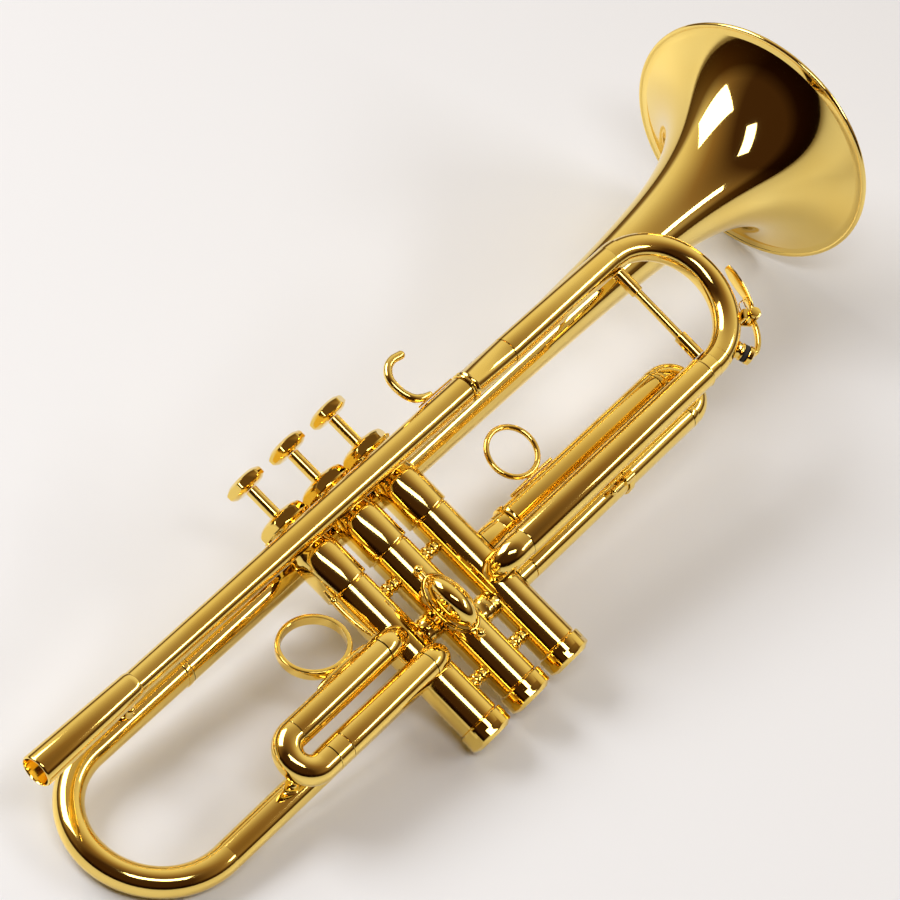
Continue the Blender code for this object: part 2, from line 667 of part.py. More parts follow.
def build_second_slide(slide, mats):
    way = second_axis()
    crook = half_dome("second_crook", way, 18.0, (6.7, 13.8, 12.4), slide, mats)
    fuse(crook, oval("second_flange", way, 17.15, (7.5, 14.7, 2.3), slide, mats))
    at = way * 17.2
    for sign in (1, -1):
        tube = hollow([(10.6, 5.4), (16.5, 5.4)], [(10.6, 4.9), (16.5, 4.9)])
        fuse(crook, turned(f"second_leg_{sign}", tube, mats["nickel"], slide,
                           (0, 0, SECOND_Z + sign * SECOND_HALF), way, closed=True))
        knob = [(19.4, 0.0), (19.0, 1.2), (18.2, 1.9), (17.2, 2.1), (16.1, 1.6), (15.6, 1.0), (11.8, 1.0),
                (11.8, 0.0)]
        fuse(crook, turned(f"second_knob_{sign}", knob, mats["gold"], slide, (at.x, at.y, SECOND_Z),
                           (0, 0, sign), 12))


def slide_frame(way):
    """Local X across, Y up the horn, Z outwards along the slide."""
    up = Vector((0, 0, 1))
    across = up.cross(way)
    return Matrix((across, up, way)).transposed().to_euler()


def half_dome(name, way, start, size, parent, mats):
    bm = bmesh.new()
    bmesh.ops.create_uvsphere(bm, u_segments=14, v_segments=8, radius=MM)
    bmesh.ops.scale(bm, vec=size, verts=bm.verts)
    geom = bm.verts[:] + bm.edges[:] + bm.faces[:]
    cut = bmesh.ops.bisect_plane(bm, geom=geom, plane_co=(0, 0, 0.1 * MM), plane_no=(0, 0, 1),
                                 clear_inner=True)
    rim = [e for e in cut["geom_cut"] if isinstance(e, bmesh.types.BMEdge)]
    bmesh.ops.edgeloop_fill(bm, edges=rim)
    bmesh.ops.recalc_face_normals(bm, faces=bm.faces)
    obj = register(bpy.data.objects.new(name, mesh_of(bm, name)), mats["cap"], parent)
    obj.location = (way * start + Vector((0, 0, SECOND_Z - 0.8))) * MM
    obj.rotation_euler = slide_frame(way)
    return obj


def oval(name, way, middle, size, parent, mats):
    bm = bmesh.new()
    bmesh.ops.create_cone(bm, cap_ends=True, segments=14, radius1=MM, radius2=MM, depth=MM)
    bmesh.ops.scale(bm, vec=size, verts=bm.verts)
    obj = register(bpy.data.objects.new(name, mesh_of(bm, name)), mats["cap"], parent)
    obj.location = (way * middle + Vector((0, 0, SECOND_Z - 0.8))) * MM
    obj.rotation_euler = slide_frame(way)
    return obj


# ------------------------------------------------------------ bell and bell bow

def bell_radius(x):
    """Outer radius of the bell at x: a slow cone plus a flare that grows towards the rim."""
    cone = 6.785 + 0.0104 * (x - BOW_X)
    end = 6.785 + 0.0104 * (BELL_RIM_X - BOW_X)
    reach = 81.93
    return cone + (BELL_R - end) * (reach / (BELL_RIM_X - x + reach)) ** 3.517


def bell_axis_z(x):
    return BOW_TOP_Z + (BELL_RIM_Z - BOW_TOP_Z) * (x - BOW_X) / (BELL_RIM_X - BOW_X)


def build_bell(horn, mats):
    steps = 14
    edge = BELL_RIM_X - 2.4
    xs = [BELL_TAIL_X + (edge - BELL_TAIL_X) * (1 - (1 - i / steps) ** 2.3) for i in range(steps + 1)]
    outer = []
    inner = []
    for i, x in enumerate(xs):
        r = bell_radius(x)
        slope = (bell_radius(x + 0.05) - bell_radius(x - 0.05)) / 0.1
        lean = hypot(1, slope)
        outer.append((x - BOW_X, r))
        shift = 0.6 * slope / lean if i else 0.0
        inner.append((x - BOW_X + shift, r - 0.6 / lean))
    bead_x = BELL_RIM_X - BEAD_R - BOW_X
    bead_y = BELL_R - BEAD_R + 0.2
    for a in (225, 157.5, 90, 22.5, -45):
        outer.append((bead_x + BEAD_R * cos(radians(a)), bead_y + BEAD_R * sin(radians(a))))
    axis = (BELL_RIM_X - BOW_X, 0, BELL_RIM_Z - BOW_TOP_Z)
    turned("bell", hollow(outer, inner), mats["bell"], horn, (BOW_X, BELL_Y, BOW_TOP_Z), axis, 48, True)
    ring_r = bell_radius(BELL_TAIL_X)
    low = BELL_TAIL_X - 3.0
    high = BELL_TAIL_X - GAP
    joint = hollow([(low, ring_r), (low + 0.4, ring_r + 0.2), (high - 0.4, ring_r + 0.2), (high, ring_r)],
                   [(low, 6.6), (high, 6.6)])
    turned("bell_joint_ring", joint, mats["gold"], horn, (0, BELL_Y, bell_axis_z(low + 1.4)), (1, 0, 0),
           closed=True)


def build_bell_bow(horn, mats):
    top = Vector((BOW_X, BELL_Y, BOW_TOP_Z))
    foot = Vector((BOW_X, BOW_FOOT_Y, BOW_FOOT_Z))
    half = (top - foot) / 2
    bend = arc((top + foot) / 2, half, (-half.length, 0, 0), pi, 12)
    tail = BELL_TAIL_X - 3.0 - GAP
    path = [Vector((tail, BELL_Y, bell_axis_z(tail)))] + bend + [foot + Vector((END, 0, 0))]
    scale = [1.15] + [1.0 + 0.075 * (1 - i / 4) if i < 4 else 1.0 for i in range(14)]
    bent_pipe("bell_bow", path, BOW_R, mats["gold"], horn, scale)
    leg = pipe("bell_bow_leg", (BOW_X + END + GAP, -28.0), (BOW_R, 6.67), (5.7, 6.1), mats["gold"], horn,
               BOW_FOOT_Y, BOW_FOOT_Z)
    boolean(leg, casing_cutter("bell_bow_leg_cope", 1, horn))


def build_bell_brace(horn, mats):
    lead = Vector((BELL_BRACE_X, LEAD_Y, LEAD_Z))
    bell = Vector((BELL_BRACE_X, BELL_Y, bell_axis_z(BELL_BRACE_X)))
    way = (bell - lead).normalized()
    span = (bell - lead).length
    start = 5.35 + GAP
    stop = span - 7.2 - GAP
    feet = [diamond(f"bell_brace_foot_{i}", tuple(lead + way * t), tuple(way), 4.4, 0.8, horn, mats)
            for i, t in enumerate((start + 0.4, stop - 0.4))]
    low = start + 0.3
    high = stop - 0.3
    rod = [(high, 0.0), (high, 2.5), (high - 4.6, 2.5), (high - 5.0, 1.7), (low + 5.0, 1.7),
           (low + 4.6, 2.5), (low, 2.5), (low, 0.0)]
    fuse(turned("bell_brace", rod, mats["gold"], horn, tuple(lead), tuple(way), 12), *feet)


def build_bow_post(horn, mats):
    """Short stop post on the bell bow's lower leg, beside the first slide's bow."""
    start = BOW_FOOT_Y - 6.45 - GAP
    at = (-107.5, start - 0.4, BOW_FOOT_Z + 2.0)
    foot = diamond("bow_post_foot", at, (0, -1, 0), 5.2, 0.8, horn, mats)
    post = [(3.3, 0.0), (3.0, 0.8), (2.3, 1.4), (0.0, 1.4), (0.0, 0.0)]
    fuse(foot, turned("bow_post_pin", post, mats["gold"], horn, at, (0, -1, 0), 10))
    foot.name = "bow_post"


# --------------------------------------------------------------------- assembly

def lay_down(horn):
    """Put the horn on its left side, then set its box on the floor, centred on the origin."""
    up = -Vector(DOWN).normalized()
    ahead = Vector((1, 0, 0)) - up * up.x
    ahead.normalize()
    horn.matrix_world = Matrix((ahead, up.cross(ahead), up)).to_4x4()
    bpy.context.view_layer.update()
    graph = bpy.context.evaluated_depsgraph_get()
    low = Vector((1, 1, 1))
    high = -low
    for obj in parts.objects:
        if obj.type == "EMPTY":
            continue
        evaluated = obj.evaluated_get(graph)
        mesh = evaluated.to_mesh()
        for vert in mesh.vertices:
            at = evaluated.matrix_world @ vert.co
            low = Vector(map(min, low, at))
            high = Vector(map(max, high, at))
        evaluated.to_mesh_clear()
    middle = (low + high) / 2
    horn.location = Vector((-middle.x, -middle.y, -low.z))
    bpy.context.view_layer.update()


def main():
    global parts, cutters
    clear_scene()
    parts = new_collection("trumpet")
    cutters = new_collection("cutters")
    mats = {
        "gold": make_material("gold_plate", (0.83, 0.58, 0.20), 0.10),
        "bell": make_material("bell_gold_plate", (0.85, 0.62, 0.24), 0.09),
        "cap": make_material("polished_cap_gold", (0.80, 0.55, 0.17), 0.08),
        "nickel": make_material("inner_nickel_silver", (0.66, 0.63, 0.56), 0.22),
        "steel": make_material("spring_steel", (0.45, 0.45, 0.46), 0.30),
        "cork": make_material("water_key_cork", (0.03, 0.03, 0.03), 0.80, 0.0),
    }
    horn = empty("horn", (0, 0, 0), None)
    for number in VALVES:
        build_casing(number, horn, mats)
        build_top_cap(number, horn, mats)
        build_bottom_cap(number, horn, mats)
        axis = empty(f"valve_axis_{number}", ((number - 2) * PITCH, 0, 0), horn)
        build_valve_action(number, axis, mats)
    build_links(horn, mats)
    build_casing_rod(horn, mats)
    build_leadpipe(horn, mats)
    build_pinky_hook(horn, mats)
    build_lower_sleeve(horn, mats)
    tuning = empty("tuning_slide_axis", (0, 0, 0), horn)
    build_tuning_slide(tuning, mats)
    pivot = bow_point(*KEY_PIVOT)
    key = empty("water_key_axis", pivot, tuning)
    build_water_key(tuning, key, pivot, mats)
    build_third_fixed(horn, mats)
    build_third_slide(empty("third_slide_axis", (0, 0, 0), horn), mats)
    build_first_fixed(horn, mats)
    build_first_slide(empty("first_slide_axis", (0, 0, 0), horn), mats)
    build_second_fixed(horn, mats)
    build_second_slide(empty("second_slide_axis", (0, 0, 0), horn), mats)
    build_bell(horn, mats)
    build_bell_bow(horn, mats)
    build_bell_brace(horn, mats)
    build_bow_post(horn, mats)
    lay_down(horn)


main()
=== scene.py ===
"""The looks of the trumpet: fine meshes, gold finishes, studio and camera.

Shapes are written in the horn frame, in millimetres: X to the bell, Y the player's left,
Z up through the valve buttons, origin on the second valve's axis.
"""

import json
from math import acos, cos, hypot, pi, radians, sin

import bmesh
import bpy
from mathutils import Matrix, Vector

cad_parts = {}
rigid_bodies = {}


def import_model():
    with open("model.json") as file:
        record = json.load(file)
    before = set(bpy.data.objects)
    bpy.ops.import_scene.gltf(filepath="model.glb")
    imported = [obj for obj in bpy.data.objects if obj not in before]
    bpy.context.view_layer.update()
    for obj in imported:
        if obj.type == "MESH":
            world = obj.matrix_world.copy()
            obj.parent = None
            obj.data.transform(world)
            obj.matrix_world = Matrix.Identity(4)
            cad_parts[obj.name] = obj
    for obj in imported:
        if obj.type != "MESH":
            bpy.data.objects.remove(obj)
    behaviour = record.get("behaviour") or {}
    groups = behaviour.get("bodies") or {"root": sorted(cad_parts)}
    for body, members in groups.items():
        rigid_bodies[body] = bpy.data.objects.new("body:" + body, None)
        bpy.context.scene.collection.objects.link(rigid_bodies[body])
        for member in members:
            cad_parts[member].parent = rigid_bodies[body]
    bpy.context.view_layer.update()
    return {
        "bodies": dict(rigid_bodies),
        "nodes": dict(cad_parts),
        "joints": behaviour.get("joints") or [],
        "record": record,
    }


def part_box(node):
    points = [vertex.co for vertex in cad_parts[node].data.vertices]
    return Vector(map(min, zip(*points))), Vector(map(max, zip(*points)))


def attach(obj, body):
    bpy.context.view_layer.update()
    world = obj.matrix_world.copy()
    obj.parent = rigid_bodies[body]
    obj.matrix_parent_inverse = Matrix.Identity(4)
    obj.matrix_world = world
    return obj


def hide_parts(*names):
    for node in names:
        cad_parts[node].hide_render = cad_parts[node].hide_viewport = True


MM = 0.001
GAP = 0.3
SIDES = 56
X = (1, 0, 0)
Z = (0, 0, 1)

PITCH = 25.4
VALVES = ((1, -PITCH), (2, 0.0), (3, PITCH))
CASING_R = 9.26
CASING_SIDES = 72
PISTON_R = 8.34
BALUSTER_R = 10.1
STEM_R = 2.6
BUTTON_Z = 61.5
LEAD_Y = -17.5
LEAD_Z = 30.0
SLEEVE_R = 6.45
TUNING_START = 96.4
TUNING_X = 167.0
TUNING_R = 6.1
BRACE_X = 166.4
LOWER_Y = -16.3
LOWER_Z = -31.4
LOWER_TUBE_R = 6.08
THIRD_Z = (-20.6, -38.8)
THIRD_R = 6.3
FIRST_Y = -15.0
FIRST_Z = (-24.3, -40.5)
FIRST_R = 6.16
FIRST_BORE = 5.62
FIRST_INNER_R = 5.55
FIRST_INNER_X = (-90.0, -43.7)
SECOND_Z = -28.3
SECOND_HALF = 7.0
SECOND_TURN = 21.0
BELL_Y = 19.1
BELL_RIM_X = 301.4
BELL_RIM_Z = 30.8
BELL_R = 61.3
BELL_WALL = 0.6
BELL_THROAT_R = 6.785
BELL_TAPER = 0.0104
FLARE_REACH = 81.93
FLARE_POWER = 3.517
BOW_X = -144.9
BOW_TOP_Z = 25.3
BOW_FOOT_Y = 2.0
BOW_FOOT_Z = -40.0
BOW_R = 6.25
BEAD_R = 1.2
BELL_TAIL_X = -93.0
BELL_BRACE_X = -127.0

# The viewpoint, in the horn frame.
CAMERA_AT = (-722.67, -1173.58, -77.74)
CAMERA_AHEAD = (0.5477, 0.8342, 0.0650)
CAMERA_UP = (0.5624, -0.4245, 0.7095)
CAMERA_LENS = 138.7
CAMERA_SHIFT = (0.0054, 0.0171)


def horn_matrix(frame):
    """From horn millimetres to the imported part's metres, read from its joints and one plain tube."""
    axes = {joint["name"]: Vector(joint["axis"]).normalized() for joint in frame["joints"]}
    ahead = axes["tuning_slide_pull"]
    up = -axes["valve_1_press"]
    turn = Matrix((ahead, up.cross(ahead), up)).transposed()
    low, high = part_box("first_inner_tube_upper")
    middle = Vector((sum(FIRST_INNER_X) / 2, FIRST_Y, FIRST_Z[0]))
    origin = (low + high) / 2 - turn @ middle * MM
    return Matrix.Translation(origin) @ turn.to_4x4() @ Matrix.Scale(MM, 4)


# ------------------------------------------------------------------ mesh tools

def skin(bm, rings, cyclic=False, caps=True):
    """Faces between rings of points that all have the same number of points."""
    loops = [[bm.verts.new(point) for point in ring] for ring in rings]
    pairs = list(zip(loops, loops[1:]))
    if cyclic:
        pairs.append((loops[-1], loops[0]))
    for a, b in pairs:
        for i in range(len(a)):
            j = (i + 1) % len(a)
            bm.faces.new((a[i], a[j], b[j], b[i]))
    if caps and not cyclic:
        bm.faces.new(list(reversed(loops[0])))
        bm.faces.new(loops[-1])


def soften(outline, radius, closed=False, steps=3):
    """The outline with its corners rounded off."""
    count = len(outline)
    result = []
    for i, here in enumerate(outline):
        here = Vector(here)
        if not closed and i in (0, count - 1):
            result.append(here)
            continue
        before = Vector(outline[i - 1])
        after = Vector(outline[(i + 1) % count])
        inset = min(radius, 0.45 * (before - here).length, 0.45 * (after - here).length)
        a = here + (before - here).normalized() * inset
        b = here + (after - here).normalized() * inset
        for k in range(steps + 1):
            t = k / steps
            result.append(a * (1 - t) ** 2 + here * 2 * t * (1 - t) + b * t ** 2)
    return result


def lathe(bm, outline, origin=(0, 0, 0), axis=X, sides=SIDES, closed=False):
    """Turn an outline of (height, radius) points round the axis."""
    way = Vector(axis).normalized()
    u = way.orthogonal().normalized()
    v = way.cross(u)
    rings = []
    for height, radius in outline:
        base = Vector(origin) + way * height
        r = max(radius, 1e-4)
        turns = [2 * pi * i / sides for i in range(sides)]
        rings.append([base + (u * cos(a) + v * sin(a)) * r for a in turns])
    skin(bm, rings, cyclic=closed)


def tube(bm, x, outer, inner, y, z, edge=0.25):
    """Straight tube along X with softened ends. Outer is one radius, or one for each end."""
    start, end = x
    r0, r1 = outer if isinstance(outer, tuple) else (outer, outer)
    wall = soften([(start, inner), (start, r0), (end, r1), (end, inner)], edge, closed=True)
    lathe(bm, wall, (0, y, z), closed=True)


def sweep(bm, path, radius, sides=32, rounded=False, across=None, cyclic=False):
    """Solid bar along a path. Radius is one number or one per point, or pairs with across."""
    points = [Vector(p) for p in path]
    count = len(points)
    sizes = list(radius) if isinstance(radius, (list, tuple)) else [radius] * count
    tangents = []
    for i in range(count):
        before = points[i - 1] if i or cyclic else points[0]
        after = points[(i + 1) % count] if i < count - 1 or cyclic else points[-1]
        tangents.append((after - before).normalized())
    side = Vector(across) if across else tangents[0].orthogonal()
    rings = []
    for point, tangent, size in zip(points, tangents, sizes):
        side = (side - tangent * side.dot(tangent)).normalized()
        other = tangent.cross(side)
        ru, rv = size if isinstance(size, tuple) else (size, size)
        rings.append((point, tangent, side.copy(), other, ru, rv))
    if rounded:
        rings = [*dome(rings[0], -1), *rings[1:-1], *dome(rings[-1], 1)]
    loops = []
    for point, _, u, v, ru, rv in rings:
        turns = [2 * pi * i / sides for i in range(sides)]
        loops.append([point + u * (cos(a) * ru) + v * (sin(a) * rv) for a in turns])
    skin(bm, loops, cyclic=cyclic)


def dome(ring, sign):
    """Shrinking rings that close the end of a bar as half an egg."""
    point, tangent, u, v, ru, rv = ring
    depth = min(ru, rv)
    rings = []
    for k in range(6):
        a = pi / 2 * k / 5
        share = max(cos(a), 0.002)
        rings.append((point + tangent * (sign * depth * sin(a)), tangent, u, v, ru * share, rv * share))
    return rings if sign > 0 else rings[::-1]


def arc(centre, start, end, turn, steps):
    """Points from centre + start, turning towards centre + end."""
    c, u, v = Vector(centre), Vector(start), Vector(end)
    return [c + u * cos(turn * i / steps) + v * sin(turn * i / steps) for i in range(steps + 1)]


def rounded_path(corners, radius, steps=14):
    """Line through the corners with each inner corner replaced by an arc."""
    pts = [Vector(p) for p in corners]
    path = [pts[0]]
    for before, corner, after in zip(pts, pts[1:], pts[2:]):
        a = (before - corner).normalized()
        b = (after - corner).normalized()
        half = acos(max(-1.0, min(1.0, a.dot(b)))) / 2
        centre = corner + (a + b).normalized() * (radius / sin(half))
        start = corner + a * (radius * cos(half) / sin(half)) - centre
        path += arc(centre, start, -a * radius, pi - 2 * half, steps)
    path.append(pts[-1])
    return path


def spline(points, steps=6):
    """Smooth curve through the points (Catmull-Rom)."""
    pts = [Vector(p) for p in points]
    pts = [pts[0] * 2 - pts[1], *pts, pts[-1] * 2 - pts[-2]]
    path = []
    for a, b, c, d in zip(pts, pts[1:], pts[2:], pts[3:]):
        for k in range(steps):
            t = k / steps
            path.append(0.5 * (2 * b + (c - a) * t + (2 * a - 5 * b + 4 * c - d) * t ** 2
                               + (3 * b - a - 3 * c + d) * t ** 3))
    path.append(pts[-2])
    return path


def fade(values, steps=6):
    """Numbers spread evenly between the given ones, to go with spline()."""
    spread = []
    for a, b in zip(values, values[1:]):
        spread += [a + (b - a) * k / steps for k in range(steps)]
    spread.append(values[-1])
    return spread


def mesh_object(bm, name):
    """The finished mesh as an object in the scene."""
    bmesh.ops.remove_doubles(bm, verts=bm.verts, dist=0.001)
    bmesh.ops.recalc_face_normals(bm, faces=bm.faces)
    mesh = bpy.data.meshes.new(name)
    bm.to_mesh(mesh)
    bm.free()
    obj = bpy.data.objects.new(name, mesh)
    bpy.context.scene.collection.objects.link(obj)
    return obj


def carve(bm, tool, operation="DIFFERENCE"):
    """The exact boolean of two meshes, as a new one."""
    obj = mesh_object(bm, "carve_from")
    other = mesh_object(tool, "carve_with")
    cut = obj.modifiers.new("cut", "BOOLEAN")
    cut.operation = operation
    cut.object = other
    cut.solver = "EXACT"
    graph = bpy.context.evaluated_depsgraph_get()
    mesh = bpy.data.meshes.new_from_object(obj.evaluated_get(graph))
    result = bmesh.new()
    result.from_mesh(mesh)
    for spent in (obj, other):
        bpy.data.meshes.remove(spent.data, do_unlink=True)
    bpy.data.meshes.remove(mesh)
    return result


def prism(at, across, height, sides=6, turn=15.0, axis=(0, 0, 1)):
    """Straight prism, its corners the given distance from the axis."""
    bm = bmesh.new()
    way = Vector(axis).normalized()
    rotation = way.to_track_quat("Z", "Y").to_matrix().to_4x4() @ Matrix.Rotation(radians(turn), 4, "Z")
    bmesh.ops.create_cone(bm, cap_ends=True, segments=sides, radius1=across, radius2=across, depth=height,
                          matrix=Matrix.Translation(Vector(at)) @ rotation)
    return bm


def casing_cutter(x, z, height=30.0):
    """Round bar over a casing, which cuts what meets the casing to fit round it."""
    return prism((x, 0, z), CASING_R + GAP, height, CASING_SIDES, 0.0)


def add_box(bm, at, size, frame):
    place = Matrix.Translation(Vector(at)) @ frame
    bmesh.ops.create_cube(bm, size=1.0, matrix=place @ Matrix.Diagonal((*size, 1.0)))


def add_ball(bm, at, size, fine=28):
    place = Matrix.Translation(Vector(at))
    bmesh.ops.create_uvsphere(bm, u_segments=fine, v_segments=fine // 2, radius=1.0,
                              matrix=place @ Matrix.Diagonal((*size, 1.0)))


def add_diamond(bm, at, axis, half, thick, width=0.72):
    """Four-cornered foot plate with bevelled edges, longest along X."""
    way = Vector(axis).normalized()
    ahead = Vector(X)
    ahead = (ahead - way * ahead.dot(way)).normalized()
    side = way.cross(ahead)
    rings = []
    for height, share in ((-thick / 2, 1.0), (thick * 0.2, 1.0), (thick / 2, 0.86)):
        corners = ((half, 0), (0, half * width), (-half, 0), (0, -half * width))
        outline = soften(corners, half * 0.35, closed=True, steps=4)
        rings.append([Vector(at) + way * height + (ahead * p.x + side * p.y) * share for p in outline])
    skin(bm, rings)


def bevel_sharp(bm, width):
    """Round off every edge that turns by more than 28 degrees."""
    edges = [e for e in bm.edges if len(e.link_faces) == 2 and e.calc_face_angle() > radians(28)]
    bmesh.ops.bevel(bm, geom=edges, offset=width, segments=2, affect="EDGES", clamp_overlap=True)


# --------------------------------------------------------------------- finishes

def noise(nodes, links, scale, detail=2.0):
    """Noise in object space, so that it stays on the piece from every side."""
    where = nodes.new("ShaderNodeTexCoord")
    texture = nodes.new("ShaderNodeTexNoise")
    texture.inputs["Scale"].default_value = scale
    texture.inputs["Detail"].default_value = detail
    links.new(where.outputs["Object"], texture.inputs["Vector"])
    return texture.outputs["Fac"]


def finish_of(name, light, deep, rough, metallic=1.0, ripple=0.01, grain=900.0):
    """Plated or ground metal: slow colour drift, uneven polish and a faint ripple."""
    mat = bpy.data.materials.new(name)
    mat.use_nodes = True
    nodes = mat.node_tree.nodes
    links = mat.node_tree.links
    shader = nodes["Principled BSDF"]
    shader.inputs["Metallic"].default_value = metallic
    drift = nodes.new("ShaderNodeValToRGB")
    drift.color_ramp.elements[0].position = 0.3
    drift.color_ramp.elements[0].color = (*deep, 1.0)
    drift.color_ramp.elements[1].position = 0.7
    drift.color_ramp.elements[1].color = (*light, 1.0)
    links.new(noise(nodes, links, 28.0), drift.inputs["Fac"])
    links.new(drift.outputs["Color"], shader.inputs["Base Color"])
    polish = nodes.new("ShaderNodeMapRange")
    polish.inputs["To Min"].default_value = rough[0]
    polish.inputs["To Max"].default_value = rough[1]
    links.new(noise(nodes, links, 160.0, 4.0), polish.inputs["Value"])
    links.new(polish.outputs["Result"], shader.inputs["Roughness"])
    bump = nodes.new("ShaderNodeBump")
    bump.inputs["Strength"].default_value = ripple
    bump.inputs["Distance"].default_value = 0.0004
    links.new(noise(nodes, links, grain, 3.0), bump.inputs["Height"])
    links.new(bump.outputs["Normal"], shader.inputs["Normal"])
    return mat


def make_finishes():
    """One finish for each material slot: light tone, deep tone, then the range of roughness."""
    return {
        "gold_plate": finish_of(
            "gold_plate", (0.97, 0.72, 0.20), (0.94, 0.66, 0.15), (0.06, 0.11)),
        "bell_gold_plate": finish_of(
            "bell_gold_plate", (0.97, 0.74, 0.23), (0.94, 0.68, 0.18), (0.03, 0.07)),
        "polished_cap_gold": finish_of(
            "polished_cap_gold", (0.96, 0.71, 0.19), (0.93, 0.65, 0.14), (0.03, 0.06)),
        "inner_nickel_silver": finish_of(
            "nickel_silver", (0.70, 0.67, 0.60), (0.62, 0.59, 0.52), (0.16, 0.26),
            ripple=0.05, grain=1600.0),
        "spring_steel": finish_of(
            "spring_steel", (0.50, 0.50, 0.51), (0.42, 0.42, 0.43), (0.22, 0.34)),
        "water_key_cork": finish_of(
            "dark_cork", (0.045, 0.040, 0.036), (0.018, 0.016, 0.015), (0.75, 0.95),
            metallic=0.0, ripple=0.6, grain=1500.0),
    }


# ----------------------------------------------------------------------- valves

def build_casings(piece):
    for number, x in VALVES:
        bm = bmesh.new()
        outline = [(-70.0, 8.4), (-70.0, 8.9), (-69.6, CASING_R), (2.7, CASING_R), (3.1, 9.0), (3.5, 9.0),
                   (3.8, 9.5), (3.9, 9.95), (4.3, BALUSTER_R), (21.6, BALUSTER_R), (22.7, 9.95), (23.7, 9.6),
                   (24.8, 9.3), (28.0, 9.15), (31.5, 9.1), (34.5, 9.25), (36.9, 9.5), (37.0, 8.4)]
        lathe(bm, outline, (x, 0, 0), Z, CASING_SIDES, closed=True)
        if number == 2:
            for side in (-1, 1):
                for z in (-7.6, -57.4):
                    add_post(bm, side, z)
        piece(f"valve_casing_{number}", bm)


def add_post(bm, side, z):
    """Spool post between two casings: two round beads with a waist between them."""
    spool = [(4.9, 0.0), (4.9, 2.3), (2.7, 2.3), (2.4, 2.9), (1.9, 3.15), (1.2, 3.15), (0.8, 2.8), (0.4, 2.3),
             (-0.4, 2.3), (-0.8, 2.8), (-1.2, 3.15), (-1.9, 3.15), (-2.4, 2.9), (-2.7, 2.3), (-4.1, 2.3),
             (-4.1, 0.0)]
    post = bmesh.new()
    lathe(post, spool, (side * PITCH / 2, -1.0, z), (side, 0, 0), 32)
    join(bm, carve(post, casing_cutter(side * PITCH, z, 20.0)))


def join(bm, other):
    """Add another mesh to this one."""
    mesh = bpy.data.meshes.new("join")
    other.to_mesh(mesh)
    other.free()
    bm.from_mesh(mesh)
    bpy.data.meshes.remove(mesh)


def build_caps(piece):
    for number, x in VALVES:
        outer = [(33.0, 10.2), (33.5, 10.7), (36.8, 11.1), (37.3, 11.3), (37.7, 11.7), (38.1, 11.8),
                 (40.2, 11.7), (41.2, 11.2), (42.3, 10.3), (43.2, 9.0), (43.8, 7.2), (44.0, 4.6), (44.2, 4.2),
                 (44.4, 3.9)]
        outline = outer + [(44.4, STEM_R + 0.1), (38.4, STEM_R + 0.1), (38.2, 9.8), (33.0, 9.8)]
        bm = bmesh.new()
        lathe(bm, outline, (x, 0, 0), Z, CASING_SIDES, closed=True)
        keep = carve(prism((x, 0, 39.0), 11.4, 14.0), prism((x, 0, 35.0), 12.5, 7.0, 48), "UNION")
        bm = carve(bm, keep, "INTERSECT")
        bevel_sharp(bm, 0.12)
        piece(f"top_cap_{number}", bm)

        bm = bmesh.new()
        outline = [(-78.7, 7.5), (-78.3, 8.1), (-77.4, 9.9), (-76.9, 10.25), (-74.6, 10.3), (-70.7, 10.3),
                   (-70.3, 9.9), (-70.3, 8.3), (-66.0, 8.3), (-66.0, 7.2), (-76.4, 7.2), (-76.5, 2.0),
                   (-78.5, 2.0), (-78.7, 2.2)]
        lathe(bm, outline, (x, 0, 0), Z, CASING_SIDES, closed=True)
        keep = carve(prism((x, 0, -84.3), 11.2, 20.0), prism((x, 0, -69.3), 12.5, 10.2, 48), "UNION")
        bm = carve(bm, keep, "INTERSECT")
        bevel_sharp(bm, 0.1)
        piece(f"bottom_cap_{number}", bm)


def build_valve_actions(piece):
    for number, x in VALVES:
        bm = bmesh.new()
        outline = [(37.4, 0.0), (37.4, 6.0), (27.0, 6.0), (27.0, PISTON_R), (-50.0, PISTON_R), (-50.0, 7.3),
                   (24.3, 7.3), (24.3, 0.0)]
        lathe(bm, outline, (x, 0, 0), Z, 64)
        piece(f"piston_{number}", bm)
        bm = bmesh.new()
        outline = [(58.3, 0.0), (58.3, 2.3), (58.0, STEM_R), (37.5, STEM_R), (37.5, 0.0)]
        lathe(bm, outline, (x, 0, 0), Z, 48)
        piece(f"piston_{number}", bm, part="stem", finish="gold_plate")

        bm = bmesh.new()
        outline = [(2.9, 0.0), (2.87, 5.6), (2.7, 6.6), (1.4, 8.7), (1.0, 9.1), (-1.1, 9.1), (-1.5, 8.7),
                   (-2.7, 6.9), (-2.9, 6.0), (-2.9, 0.0)]
        lathe(bm, outline, (x, 0, BUTTON_Z), Z, 64)
        bm = carve(bm, prism((x, 0, BUTTON_Z), 9.3, 7.0), "INTERSECT")
        bevel_sharp(bm, 0.14)
        piece(f"valve_button_{number}", bm)

        bm = bmesh.new()
        turns = 4
        steps = 28
        coil = []
        for i in range(turns * steps + 1):
            a = 2 * pi * i / steps
            coil.append((x + 6.2 * cos(a), 6.2 * sin(a), -2.0 + 25.0 * i / (turns * steps)))
        sweep(bm, coil, 0.45, 10, rounded=True)
        piece(f"valve_spring_{number}", bm)


def build_links(piece):
    for a, z in ((1, -29.7), (2, -39.3)):
        x = (a - 1.5) * PITCH
        bm = bmesh.new()
        outline = [(-5.0, 5.0), (-5.0, 5.6), (-2.4, 5.6), (-1.9, 5.9), (-1.2, 5.9), (-0.8, 5.5), (0.8, 5.5),
                   (1.2, 5.9), (1.9, 5.9), (2.4, 5.6), (5.0, 5.6), (5.0, 5.0)]
        lathe(bm, outline, (x, 0, z), X, 48, closed=True)
        for side in (-1, 1):
            bm = carve(bm, casing_cutter(x + side * PITCH / 2, z, 20.0))
        piece(f"valve_link_{a}{a + 1}", bm)


